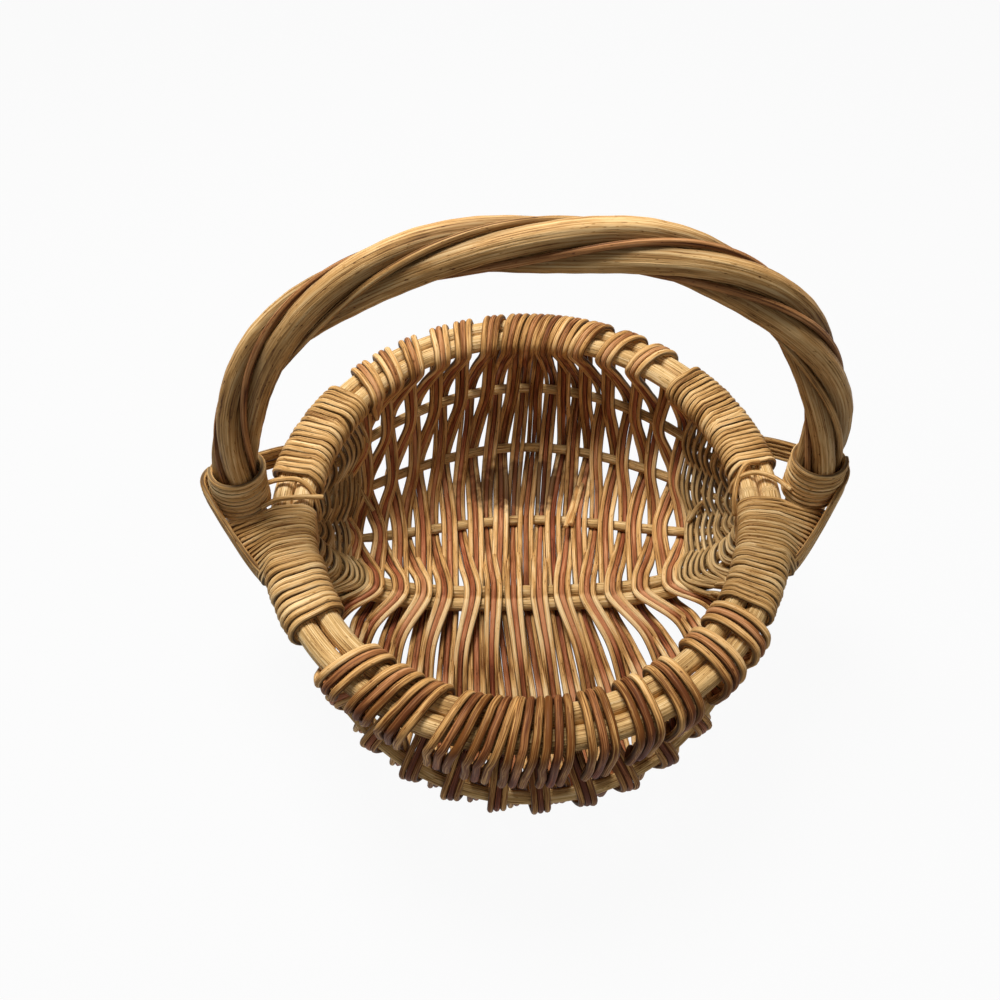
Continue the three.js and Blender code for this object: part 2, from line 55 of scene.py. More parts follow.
# %% [markdown]
# ## Sizes from the frame
# The main sizes could be typed in again, but then they would drift when the frame changes. They are
# read from the boxes of the frame's pieces instead. All lengths here are millimetres, measured from the
# plane of the rim, and are turned into metres only when a mesh is made.

# %% Read the rim and the ribs
MM = 0.001
# The frame's rods have six sides. This is their width over two flats by their width over two corners.
FLAT_SHARE = math.cos(math.pi / 6)
RIB_RADIUS = 3.0
KEEL_RADIUS = 3.8


def span(node):
    """Lowest and highest corner of a frame piece, in millimetres."""
    low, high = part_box(node)
    return np.array(low) / MM, np.array(high) / MM


outer_low, outer_high = span("rim_rod_outer")
_, inner_high = span("rim_rod_inner")
rim_height = (outer_low[2] + outer_high[2]) / 2
rim_rod_radius = (outer_high[2] - outer_low[2]) / 2 / FLAT_SHARE
rod_shift = (outer_high[0] - inner_high[0]) / 2
rim_half_length = (outer_high[0] + inner_high[0]) / 2 - rim_rod_radius
rim_half_depth = (outer_high[1] + inner_high[1]) / 2 - rim_rod_radius


def rod_sizes(node, side=0):
    """How far a rod spreads to its side and drops below the rim; a keel rod has no side."""
    low, high = span(node)
    if side:
        radius = RIB_RADIUS
        widest = high[1] if side > 0 else low[1]
        spread = widest - side * radius * FLAT_SHARE
    else:
        radius = KEEL_RADIUS
        spread = (low[1] + high[1]) / 2
    return {"node": node, "spread": spread, "depth": rim_height - low[2] - radius, "radius": radius}


frame_rods = [rod_sizes(f"rib_front_{place}", -1) for place in ("upper", "middle", "lower")]
frame_rods += [rod_sizes("keel_rod_front"), rod_sizes("keel_rod_back")]
frame_rods += [rod_sizes(f"rib_back_{place}", 1) for place in ("lower", "middle", "upper")]
print("rim", round(2 * rim_half_length), "by", round(2 * rim_half_depth), "mm,", round(rim_height), "up")

# %% [markdown]
# ## Camera
# The camera stands in front of the basket and looks down into it. It is aimed at the middle of the rim,
# and a small shift puts that point at the pixel where the photograph has it. Moving the camera by hand
# until the picture fits is slow, so its place was worked out from the rim and the handle.

# %% Place the camera
PHOTO_SIZE = 1000
FOCAL_PIXELS = 906.84
AIM_PIXEL = (526.67, 496.28)
CAMERA_TURN = math.radians(-1.14)
CAMERA_RISE = math.radians(49.66)
CAMERA_ROLL = math.radians(-0.15)
CAMERA_REACH = 434.25

aim = Vector((0, 0, rim_height * MM))
level = math.cos(CAMERA_RISE)
toward_eye = Vector((math.sin(CAMERA_TURN) * level, -math.cos(CAMERA_TURN) * level, math.sin(CAMERA_RISE)))
lens = bpy.data.cameras.new("photo_camera")
lens.lens = lens.sensor_width * FOCAL_PIXELS / PHOTO_SIZE
lens.shift_x = 0.5 - AIM_PIXEL[0] / PHOTO_SIZE
lens.shift_y = AIM_PIXEL[1] / PHOTO_SIZE - 0.5
camera = bpy.data.objects.new("photo_camera", lens)
camera.location = aim + toward_eye * CAMERA_REACH * MM
camera.rotation_mode = "QUATERNION"
camera.rotation_quaternion = (-toward_eye).to_track_quat("-Z", "Y") @ Quaternion((0, 0, 1), CAMERA_ROLL)
bpy.context.scene.collection.objects.link(camera)
bpy.context.scene.camera = camera
bpy.context.scene.view_settings.view_transform = "Standard"
print("camera stands", round(camera.location.z, 3), "m up")

# %% [markdown]
# ## Node expressions
# A finish is a small network of shader nodes. Adding each node and each link by hand is long, so this
# class wraps one output of a node. Sums on such wires add Math nodes by themselves, and `node` adds any
# other kind.


# %% Wrap a shader wire
class Wire:
    """One output of a shader node, which can be added and multiplied like a number."""

    def __init__(self, tree, socket=None):
        self.tree = tree
        self.socket = socket

    def node(self, kind, settings=None, inputs=None, output=0):
        """Any node: its type, its settings, the values or wires of its sockets, and its used output."""
        made = self.tree.nodes.new(kind)
        for name, value in (settings or {}).items():
            if name == "stops":
                set_stops(made.color_ramp.elements, value)
            else:
                setattr(made, name, value)
        for name, value in (inputs or {}).items():
            if isinstance(value, Wire):
                self.tree.links.new(value.socket, made.inputs[name])
            else:
                made.inputs[name].default_value = value
        return Wire(self.tree, made.outputs[output] if made.outputs else None)

    def math(self, operation, first, second):
        return self.node("ShaderNodeMath", {"operation": operation}, {0: first, 1: second})

    def __add__(self, other):
        return self.math("ADD", self, other)

    def __radd__(self, other):
        return self.math("ADD", other, self)

    def __sub__(self, other):
        return self.math("SUBTRACT", self, other)

    def __rsub__(self, other):
        return self.math("SUBTRACT", other, self)

    def __mul__(self, other):
        return self.math("MULTIPLY", self, other)

    def __rmul__(self, other):
        return self.math("MULTIPLY", other, self)

    def mixed(self, factor, first, second):
        """Colour between two colours."""
        sockets = {0: factor, 6: first, 7: second}
        return self.node("ShaderNodeMix", {"data_type": "RGBA"}, sockets, output=2)

    def scaled(self, vector, x, y, z):
        return self.node("ShaderNodeVectorMath", {"operation": "MULTIPLY"}, {0: vector, 1: (x, y, z)})

    def noise(self, vector, scale, detail=2.0):
        return self.node("ShaderNodeTexNoise", {}, {"Vector": vector, "Scale": scale, "Detail": detail})


print("sums on wires make nodes")

# %% [markdown]
# Colours are easiest to judge as they look on a screen, but shaders work with linear light. One helper
# turns the first into the second, and the others fill a colour ramp and clear a new node tree.


# %% Turn screen colours into light
def set_stops(elements, stops):
    """Colours of a ramp, given as pairs of place and colour."""
    while len(elements) < len(stops):
        elements.new(1.0)
    for element, (place, colour) in zip(elements, stops):
        element.position = place
        element.color = colour


def seen(red, green, blue):
    """A colour as it looks on a screen, 0 to 255, turned into the linear light that shaders use."""
    shares = [value / 255 for value in (red, green, blue)]
    return tuple(s / 12.92 if s <= 0.04045 else ((s + 0.055) / 1.055) ** 2.4 for s in shares) + (1.0,)


def new_tree(owner):
    """Cleared node tree of a material or a world."""
    owner.use_nodes = True
    owner.node_tree.nodes.clear()
    return Wire(owner.node_tree)


print("middle grey on a screen is", round(seen(128, 128, 128)[0], 3), "in light")

# %% [markdown]
# ## Floor and light
# A white sweep could be lit until it burns out, but that would burn the basket too. Here the floor and
# the sky only look white to the camera, while the basket is lit at a plain level by one broad lamp
# above and behind it and a weaker one in front. The floor keeps part of its shading, so the basket
# still stands in its own shadow.

# %% Make the floor, the sky and the lamps
FLOOR_REACH = 4.0
FLOOR_GLOW = 0.945
FLOOR_GREY = (0.45, 0.45, 0.45, 1)
WHITE = (1, 1, 1, 1)
SKY_STRENGTH = 0.07


def seen_directly(start):
    """1 for what the camera, a mirror or glass looks at, and 0 for light that bounces off matt things."""
    direct = start.node("ShaderNodeLightPath", output="Is Camera Ray")
    for kind in ("Is Glossy Ray", "Is Transmission Ray"):
        direct = start.math("MAXIMUM", direct, start.node("ShaderNodeLightPath", output=kind))
    return direct


def floor_finish():
    material = bpy.data.materials.new("pale_floor")
    start = new_tree(material)
    matt = start.node("ShaderNodeBsdfDiffuse", {}, {"Color": FLOOR_GREY})
    glow = start.node("ShaderNodeEmission", {}, {"Color": WHITE, "Strength": 1.0})
    share = seen_directly(start) * FLOOR_GLOW
    surface = start.node("ShaderNodeMixShader", {}, {0: share, 1: matt, 2: glow})
    start.node("ShaderNodeOutputMaterial", {}, {"Surface": surface})
    return material


def light_sky():
    world = bpy.data.worlds.new("studio_sky")
    bpy.context.scene.world = world
    start = new_tree(world)
    direct = seen_directly(start)
    strength = direct + (1 - direct) * SKY_STRENGTH
    sky = start.node("ShaderNodeBackground", {}, {"Color": WHITE, "Strength": strength})
    start.node("ShaderNodeOutputWorld", {}, {"Surface": sky})


def hang_lamp(name, place, size, watts):
    """Square lamp that points at the middle of the rim."""
    lamp = bpy.data.lights.new(name, "AREA")
    lamp.size = size
    lamp.energy = watts
    holder = bpy.data.objects.new(name, lamp)
    holder.location = place
    holder.rotation_euler = (aim - Vector(place)).to_track_quat("-Z", "Y").to_euler()
    bpy.context.scene.collection.objects.link(holder)


floor_mesh = bpy.data.meshes.new("pale_floor")
corners = [(-FLOOR_REACH, -FLOOR_REACH, 0), (FLOOR_REACH, -FLOOR_REACH, 0)]
corners += [(FLOOR_REACH, FLOOR_REACH, 0), (-FLOOR_REACH, FLOOR_REACH, 0)]
floor_mesh.from_pydata(corners, [], [(0, 1, 2, 3)])
floor_mesh.materials.append(floor_finish())
floor = bpy.data.objects.new("pale_floor", floor_mesh)
bpy.context.scene.collection.objects.link(floor)
light_sky()
hang_lamp("broad_lamp", place=(-0.16, 0.22, 0.95), size=0.36, watts=10.8)
hang_lamp("front_lamp", place=(0.20, -0.85, 0.72), size=0.60, watts=1.5)
print("floor, sky and two lamps made")

# %% [markdown]
# ## Finishes
# Peeled rod and round strand are bundles of fibres, so their colour runs in long streaks. Every tube
# carries its own grain: a vector with the way round in its first two numbers and the length along the
# strand in the third. Noise that is squeezed across and stretched along that vector gives the streaks
# on any bend. Each strand also carries a tone of its own, so that neighbours differ, a dye value that
# turns it reddish, and a groove value that is high where it faces its neighbour. There its colour is
# darkened as painted shade between the strands, mixed with some dust. A picture could be wrapped round
# every strand, but noise needs no file and never repeats. An old water mark low on the back wall comes
# first, as a ragged patch round one point.

# %% Mark the water stain
STAIN_PLACE = (0.0, 86.0, -91.0)
STAIN_REACH = 25.0
STAIN_WIDTH = 2.0
STAIN_NOISE = 210.0
STAIN_RAGGED = 0.9
STAIN_LEVEL = 1.35
STAIN_EDGE = 2.6
WATER_MARK = seen(58, 22, 0)


def stain_mask(start):
    """1 in the middle of the water mark on the back wall and 0 away from it."""
    place = start.node("ShaderNodeNewGeometry", output="Position")
    middle = tuple((np.array(STAIN_PLACE) + (0, 0, rim_height)) * MM / (STAIN_WIDTH, 1, 1))
    sockets = {0: start.scaled(place, 1 / STAIN_WIDTH, 1, 1), 1: middle}
    away = start.node("ShaderNodeVectorMath", {"operation": "DISTANCE"}, sockets, output="Value")
    ragged = start.noise(place, STAIN_NOISE, 4.0)
    near = STAIN_LEVEL - away * (1 / (STAIN_REACH * MM)) - ragged * STAIN_RAGGED
    return start.node("ShaderNodeClamp", {}, {"Value": near * STAIN_EDGE})


print("water mark reaches", STAIN_REACH, "mm and", STAIN_WIDTH, "times as far sideways")

# %% [markdown]
# One function mixes every finish. The streaks, a soft mottle, the strand's own tone and a few dark
# flecks are added up to one value. Two colour ramps turn it into natural and reddish cane, and the
# painted shade and dust between the strands and the water mark are laid over that. A finish for each
# strand would be hundreds, and this way one serves many.

# %% Mix the cane finish
FIBRE_SHARE = 1.7
MOTTLE_SHARE = 0.75
TONE_SHARE = 0.4
FLECK_SHARE = 0.35
VALUE_SHIFT = 0.9
MOTTLE_SCALES = (0.16, 0.16, 0.045)
FLECK_SCALES = (1.5, 1.5, 0.35)
FLECK_RANGE = (0.66, 0.76)
RAMP_PLACES = (0.1, 0.5, 0.9)
# Where and how strongly the painted shade and dust between strands darken the colour.
SHADE_AND_DUST_RANGE = (0.66, 0.97)
SHADE_AND_DUST_LEAST = 0.5
SHADE_AND_DUST_BY_MOTTLE = 0.7
STAIN_LEAST = 0.35
STAIN_BY_TONE = 0.75
BUMP_STRENGTH = 0.6
ROUGH_BY_FIBRE = 0.3
GLOSS = 0.15
RED = (seen(74, 28, 10), seen(152, 80, 48), seen(202, 130, 88))
# Colour of the painted shade and dust between strands.
GROOVE_SHADE_AND_DUST = seen(34, 12, 2)


def mesh_value(start, name, output="Fac"):
    return start.node("ShaderNodeAttribute", {"attribute_name": name}, output=output)


def between_limits(start, value, limits):
    """0 up to the first limit, 1 from the second, and a slope between them."""
    sockets = {"Value": value, "From Min": limits[0], "From Max": limits[1]}
    return start.node("ShaderNodeMapRange", {}, sockets)


def ramp_colour(start, tints, value):
    return start.node("ShaderNodeValToRGB", {"stops": list(zip(RAMP_PLACES, tints))}, {"Fac": value})


def cane_finish(name, tints, fibre_width, fibre_length, depth, roughness, shade_and_dust_amount=1.0, stained=False):
    """Finish of a fibrous strand or rod; tints are three colours from dark to light."""
    material = bpy.data.materials.new(name)
    start = new_tree(material)
    grain = mesh_value(start, "grain", output="Vector")
    tone, dye, groove = [mesh_value(start, label) for label in ("tone", "dye", "groove")]
    squeezed = start.scaled(grain, 1 / fibre_width, 1 / fibre_width, 1 / fibre_length)
    fibres = start.noise(squeezed, 1.0, 5.0)
    mottle = start.noise(start.scaled(grain, *MOTTLE_SCALES), 1.0, 3.0)
    flecks = start.noise(start.scaled(grain, *FLECK_SCALES), 1.0, 1.0)
    value = fibres * FIBRE_SHARE + mottle * MOTTLE_SHARE + tone * TONE_SHARE - VALUE_SHIFT
    value = value - between_limits(start, flecks, FLECK_RANGE) * FLECK_SHARE
    colour = start.mixed(dye, ramp_colour(start, tints, value), ramp_colour(start, RED, value))
    # Painted shade where a strand faces its neighbour, mixed with some dust.
    crevice_shade_and_dust = between_limits(start, groove, SHADE_AND_DUST_RANGE) * (SHADE_AND_DUST_LEAST + mottle * SHADE_AND_DUST_BY_MOTTLE) * shade_and_dust_amount
    colour = start.mixed(crevice_shade_and_dust, colour, GROOVE_SHADE_AND_DUST)
    if stained:
        stain = stain_mask(start) * (STAIN_LEAST + tone * STAIN_BY_TONE)
        colour = start.mixed(stain, colour, WATER_MARK)
    sockets = {"Strength": BUMP_STRENGTH, "Distance": depth * MM, "Height": fibres}
    bumped = start.node("ShaderNodeBump", {}, sockets)
    rough = roughness + (0.5 - fibres) * ROUGH_BY_FIBRE
    sockets = {"Base Color": colour, "Roughness": rough, "Normal": bumped, "Specular IOR Level": GLOSS}
    surface = start.node("ShaderNodeBsdfPrincipled", {}, sockets)
    start.node("ShaderNodeOutputMaterial", {}, {"Surface": surface})
    return material


print("streaks count for", FIBRE_SHARE, "and tone for", TONE_SHARE)

# %% [markdown]
# The pieces differ in age and wear. The rim and the ribs are straw coloured, the bands and the windings
# tan, the strands at the ears a little olive, and the handle is browner from many hands.

# %% Make the six finishes
STRAW = (seen(112, 70, 28), seen(208, 166, 104), seen(246, 216, 164))
TAN = (seen(108, 62, 22), seen(214, 162, 96), seen(248, 214, 158))
LOOP_TAN = (seen(100, 58, 20), seen(204, 157, 94), seen(246, 212, 156))
OLIVE = (seen(90, 58, 24), seen(190, 152, 96), seen(232, 204, 154))
BROWN = (seen(76, 42, 12), seen(188, 142, 84), seen(230, 194, 138))

finishes = {
    "rim_rod": cane_finish("peeled_rim_rod", STRAW, 0.5, 34.0, 0.7, 0.62),
    "rib": cane_finish("round_rib", STRAW, 0.5, 16.0, 0.4, 0.66, stained=True),
    # The handle gets half of the painted shade and dust between its rods.
    "handle_rod": cane_finish("twisted_handle_rod", BROWN, 0.6, 40.0, 0.7, 0.58, shade_and_dust_amount=0.5),
    "weaver": cane_finish("woven_strand", TAN, 0.45, 18.0, 0.3, 0.6, stained=True),
    "binding": cane_finish("wound_strand", LOOP_TAN, 0.45, 14.0, 0.3, 0.58),
    "ear_strand": cane_finish("ear_strand", OLIVE, 0.45, 14.0, 0.3, 0.62),
}
print("finishes:", ", ".join(finishes))

# %% [markdown]
# ## Round tubes
# A bevelled curve would give a tube in one line, but it can't carry the grain, taper freely or end in a
# cut face. So each strand is skinned here from rings of points. The rings are carried along the path
# without turning, which keeps the streaks straight, and a cut end has a small worn edge.

# %% Measure a path
SEED = 11
STEEP = 0.8
ANY_PHASE = 6.3
rng = np.random.default_rng(SEED)


def units(vectors):
    return vectors / np.linalg.norm(vectors, axis=-1, keepdims=True)


def ways_along(path, closed):
    """Direction of the path at each of its points."""
    if closed:
        return units(np.roll(path, -1, axis=0) - np.roll(path, 1, axis=0))
    return units(np.gradient(path, axis=0))


def carried_guides(along):
    """A direction across the path at each point, carried from the one before it."""
    carried = np.array([0.0, 0.0, 1.0]) if abs(along[0][2]) < STEEP else np.array([1.0, 0.0, 0.0])
    guides = np.empty_like(along)
    for i, way in enumerate(along):
        carried = carried - way * (carried @ way)
        carried = carried / np.linalg.norm(carried)
        guides[i] = carried
    return guides


def arcs_of(path):
    """Length along the path up to each of its points."""
    steps = np.linalg.norm(np.diff(path, axis=0), axis=1)
    return np.concatenate([[0.0], np.cumsum(steps)])


def waves(arcs, lengths):
    """Soft random waves along a strand, between about -1 and 1."""
    parts = [np.sin(2 * np.pi * arcs / length + rng.uniform(0, ANY_PHASE)) for length in lengths]
    return sum(parts) / len(lengths)


print("random draws start from seed", SEED)

# %% Skin a path with rings
STRAND_SIDES = 10
ROD_SIDES = 36
WORN_EDGE = 0.35
THINNEST = 0.3
UNEVEN = 0.03
UNEVEN_LENGTHS = (11, 23, 41)
RIDGE_COUNTS = (3, 5, 8, 11, 14)
RIDGE_DRIFT = 0.012
GRAIN_START = 900


def worn_ends(path, radius, others):
    """The same line with one more, narrower ring at each cut end."""
    way = units(path[[1, -2]] - path[[0, -1]])
    inset = path[[0, -1]] + way * WORN_EDGE
    path = np.concatenate([path[:1], inset[:1], path[1:-1], inset[1:], path[-1:]])
    narrow = np.maximum(radius[[0, -1]] - WORN_EDGE, THINNEST)
    radius = np.concatenate([narrow[:1], radius, narrow[1:]])
    return path, radius, [np.concatenate([values[:1], values, values[-1:]]) for values in others]


def tube(path, radius, tone, dye=0.0, beside=None, sides=STRAND_SIDES, closed=False, ridges=0.0, worn=True):
    """Rings of a round strand along a path; radius, tone and dye may change along it.

    The direction beside points to the neighbouring strands, at one place or along the whole path."""
    path = np.asarray(path, float)
    radius = np.broadcast_to(np.asarray(radius, float), len(path))
    tone = np.broadcast_to(np.asarray(tone, float), len(path))
    dye = np.broadcast_to(np.asarray(dye, float), len(path))
    beside = np.broadcast_to(np.zeros(3) if beside is None else np.asarray(beside, float), path.shape)
    if not closed:
        radius = radius * (1 + UNEVEN * waves(arcs_of(path), UNEVEN_LENGTHS))
        if worn:
            path, radius, (tone, dye, beside) = worn_ends(path, radius, (tone, dye, beside))
    along = ways_along(path, closed)
    first = carried_guides(along)
    second = np.cross(along, first)
    arcs = arcs_of(path)
    angles = 2 * np.pi * np.arange(sides) / sides
    swell = np.broadcast_to(radius[:, None], (len(path), sides)).copy()
    if ridges:
        for count in RIDGE_COUNTS:
            phase = rng.uniform(0, 2 * np.pi)
            drift = 0.0 if closed else rng.uniform(-RIDGE_DRIFT, RIDGE_DRIFT)
            ripple = np.cos(count * angles[None, :] + phase + drift * arcs[:, None])
            swell += ridges / (len(RIDGE_COUNTS) / 2) * ripple
    cosines, sines = np.cos(angles)[None, :, None], np.sin(angles)[None, :, None]
    spokes = cosines * first[:, None, :] + sines * second[:, None, :]
    points = path[:, None, :] + spokes * swell[:, :, None]
    # The groove value is high on the sides that face a neighbour; it places the painted shade between
    # strands.
    groove = np.abs(np.einsum("ijk,ik->ij", spokes, beside))
    grain = np.empty_like(points)
    grain[:, :, 0] = cosines[:, :, 0] * radius[:, None]
    grain[:, :, 1] = sines[:, :, 0] * radius[:, None]
    grain[:, :, 2] = arcs[:, None] + rng.uniform(0, GRAIN_START)
    return {"points": points, "grain": grain, "groove": groove, "tone": tone, "dye": dye, "closed": closed}


def cut_length(strand, low, high):
    """Part of a strand between two of its rings."""
    kept = {key: strand[key][low:high + 1] for key in ("points", "grain", "groove", "tone", "dye")}
    return {**kept, "closed": False}


print("tubes have", STRAND_SIDES, "or", ROD_SIDES, "sides")

# %% [markdown]
# A piece is often many strands, and one object for each would be hundreds. So the rings of all its
# tubes are put into one mesh, with the grain and the other values kept on the points.


# %% Make a piece from its tubes
def tube_faces(rings, sides, closed):
    """Quads round the rings, and the two end faces of an open tube."""
    lower = np.arange(rings if closed else rings - 1)[:, None] * sides
    upper = (lower + sides) % (rings * sides)
    here = np.arange(sides)
    beside = (here + 1) % sides
    quads = np.stack([lower + here, lower + beside, upper + beside, upper + here], axis=-1).reshape(-1, 4)
    if closed:
        return quads, []
    return quads, [list(range(sides))[::-1], list(range((rings - 1) * sides, rings * sides))]


def make_piece(name, strands, slot, *nodes, finish=None):
    """One object from several tubes, riding on the basket in place of its frame pieces."""
    points, grain, groove, tone, dye, faces, ends = [], [], [], [], [], [], []
    count = 0
    for strand in strands:
        rings, sides = strand["points"].shape[:2]
        quads, caps = tube_faces(rings, sides, strand["closed"])
        faces += (quads + count).tolist()
        ends += [[corner + count for corner in cap] for cap in caps]
        points.append(strand["points"].reshape(-1, 3))
        grain.append(strand["grain"].reshape(-1, 3))
        groove.append(strand["groove"].ravel())
        tone.append(np.repeat(strand["tone"], sides))
        dye.append(np.repeat(strand["dye"], sides))
        count += rings * sides
    placed = (np.concatenate(points) + (0, 0, rim_height)) * MM
    mesh = bpy.data.meshes.new(name)
    mesh.from_pydata(placed.tolist(), [], faces + ends)
    mesh.polygons.foreach_set("use_smooth", np.arange(len(faces) + len(ends)) < len(faces))
    grain_values = np.concatenate(grain).astype(np.float32).ravel()
    mesh.attributes.new("grain", "FLOAT_VECTOR", "POINT").data.foreach_set("vector", grain_values)
    for label, values in (("groove", groove), ("tone", tone), ("dye", dye)):
        attribute = mesh.attributes.new(label, "FLOAT", "POINT")
        attribute.data.foreach_set("value", np.concatenate(values).astype(np.float32))
    mesh.materials.append(finishes[finish or slot])
    made = bpy.data.objects.new(name, mesh)
    bpy.context.scene.collection.objects.link(made)
    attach(made, "root")
    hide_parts(*nodes)
    return made


quads, caps = tube_faces(2, STRAND_SIDES, False)
print("two rings give", len(quads), "sides and", len(caps), "ends")

# %% [markdown]
# The paths come from a few control points each. A spline object could join them, but the strands need
# their radius and the way to their neighbours carried along too, so the curve is worked out on whole
# rows of numbers.


# %% Draw a smooth line
def smooth_line(rows, step):
    """Points of a smooth curve through rows of control values, and where each row falls among them.

    The first three numbers of a row are its place. The knots are spaced by the square root of the
    distance, so that the curve doesn't overshoot where control points crowd together."""
    rows = np.asarray(rows, float)
    gaps = np.linalg.norm(np.diff(rows[:, :3], axis=0), axis=1)
    knots = np.sqrt(np.maximum(gaps, 1e-6))[:, None]
    slopes = np.diff(rows, axis=0) / knots
    tangents = np.empty_like(rows)
    tangents[0] = slopes[0]
    tangents[-1] = slopes[-1]
    tangents[1:-1] = (slopes[:-1] * knots[1:] + slopes[1:] * knots[:-1]) / (knots[:-1] + knots[1:])
    line, marks = [], []
    for i, gap in enumerate(gaps):
        marks.append(len(line))
        count = max(1, int(math.ceil(gap / step)))
        for t in np.arange(count) / count:
            rise = t * t * (3 - 2 * t)
            leave = t * (1 - t) * (1 - t) * knots[i]
            arrive = t * t * (1 - t) * knots[i]
            straight = rows[i] * (1 - rise) + rows[i + 1] * rise
            line.append(straight + tangents[i] * leave - tangents[i + 1] * arrive)
    marks.append(len(line))
    line.append(rows[-1])
    return np.array(line), marks


print("a corner is drawn with", len(smooth_line([(0, 0, 0), (5, 0, 0), (5, 5, 0)], 1.0)[0]), "points")

# %% [markdown]
# ## Rim hoop
# The rim is two peeled rods side by side, bent into one oval. A stretched torus would stretch the rods
# as well. An oval is a formula, so its points are worked out instead, and shallow ridges along the rods
# give them the look of split, fibrous wood.


# %% Bend the rim rods
def rim_turn(x, side):
    """Angle on the rim oval at a place between the ears, on the front (-1) or the back (+1)."""
    return side * np.arccos(np.clip(x / rim_half_length, -1, 1))


def rim_point(turn, inward=0.0, height=0.0):
    """Point beside the rim line, a distance inward from it and a height above it."""
    across = np.array([-np.cos(turn) / rim_half_length, -np.sin(turn) / rim_half_depth])
    across = across / np.linalg.norm(across)
    x = rim_half_length * np.cos(turn) + across[0] * inward
    y = rim_half_depth * np.sin(turn) + across[1] * inward
    return np.array([x, y, height])


def rim_speed(turn):
    """Length of rim for one radian of its angle."""
    return math.hypot(rim_half_length * math.sin(turn), rim_half_depth * math.cos(turn))


def ramp(values, start, length):
    """0 up to a start, then rising to 1 over a length."""
    return np.clip((values - start) / length, 0, 1)


RIM_POINTS = 260
RIM_RIDGES = 0.2
RIM_WAVE = 0.12
RIM_TONE = 0.62
# Painted shade: the front half of each rim rod is drawn darker.
RIM_FRONT_SHADE = 0.3
RIM_FRONT_SHADE_RAMP = (0.3, 0.5)
for node, inward in (("rim_rod_outer", -rod_shift), ("rim_rod_inner", rod_shift)):
    turns = 2 * np.pi * np.arange(RIM_POINTS) / RIM_POINTS
    path = [rim_point(turn, inward) for turn in turns]
    girth = rod_shift - RIM_RIDGES + RIM_WAVE * np.sin(3 * turns + inward)
    # The front of the rim is darkened as painted shade.
    tones = RIM_TONE - RIM_FRONT_SHADE * ramp(-np.sin(turns), *RIM_FRONT_SHADE_RAMP)
    rod = tube(path, girth, tones, sides=ROD_SIDES, closed=True, ridges=RIM_RIDGES)
    make_piece(node, [rod], "rim_rod", node)
print("rim rods bent from", RIM_POINTS, "points each")

# %% [markdown]
# ## Ribs and keel
# Three ribs on each side and two keel rods down the middle give the basket its two lobes. Each one is a
# flattened arch from ear to ear and is pared down towards its ends. Curves drawn by hand could look the
# same, but a formula can be asked again later where a strand crosses a rod.

# %% Shape the ribs and the keel
SPREAD_POWER = 2.0
DEPTH_POWER = 3.2
END_INSETS = {"upper": 0.15, "middle": 0.35, "lower": 0.7, "front": 0.5, "back": 0.5}
ROD_POINTS = 120
RIB_RIDGES = 0.1
FINE_POINTS = 1600
PARED_FROM = 84.0
PARED_TO = 108.0
PARED_SHARE = 0.45
RIB_TOP_GAP = 3.0
KEEL_TOP_GAP = 0.3
RIB_TONE = 0.4


def fall(x, power):
    """1 in the middle of the basket and 0 at the ears, along a flattened arch."""
    share = np.clip(np.abs(x) / rim_half_length, 0, 1)
    return (1 - share ** power) ** (1 / power)


def rod_point(rod, x):
    """Point on the middle line of a rib or keel rod at a place between the ears."""
    flare = 1.0 if rod["radius"] == KEEL_RADIUS else fall(x, SPREAD_POWER)
    return np.array([x, rod["spread"] * flare, -rod["depth"] * fall(x, DEPTH_POWER)])


def rod_radius(rod, x):
    """Radius of a rib or keel rod, which is pared down near the ears."""
    pared = ramp(np.abs(x), PARED_FROM, PARED_TO - PARED_FROM)
    return rod["radius"] * (1 - PARED_SHARE * pared)


def even_points(fine, count):
    """Points at even steps along a finely drawn line."""
    arcs = arcs_of(fine)
    wanted = np.linspace(0, arcs[-1], count)
    return np.stack([np.interp(wanted, arcs, fine[:, axis]) for axis in range(3)], axis=1)


def rod_line(rod):
    """Middle line of a rod; the upper ribs run farthest up, so that no two ends meet at the ear."""
    reach = rim_half_length - END_INSETS[rod["node"].split("_")[-1]]
    fine = np.array([rod_point(rod, -reach * math.cos(t)) for t in np.linspace(0, math.pi, FINE_POINTS)])
    gap = KEEL_TOP_GAP if rod["radius"] == KEEL_RADIUS else RIB_TOP_GAP
    under_rim = -(rim_rod_radius + gap)
    return even_points(fine[fine[:, 2] < under_rim], ROD_POINTS)


for rod in frame_rods:
    path = rod_line(rod)
    girth = rod_radius(rod, path[:, 0]) - RIB_RIDGES
    rounded = tube(path, girth, RIB_TONE, sides=ROD_SIDES // 2, ridges=RIB_RIDGES)
    make_piece(rod["node"], [rounded], "rib", rod["node"])
print("made", len(frame_rods), "ribs and keel rods")

# %% [markdown]
# ## Woven bands
# The weave is one long band of three strands, natural, reddish and natural. It runs over one rod and
# under the next, wraps the rim and comes back on the other side of every rod. Even passes lie inside
# the bowl at the keel and odd passes lie below it. A formula could space the passes evenly, but the
# basket was woven by eye, so the places where the passes cross the rods are short lists, measured in
# millimetres from the middle.

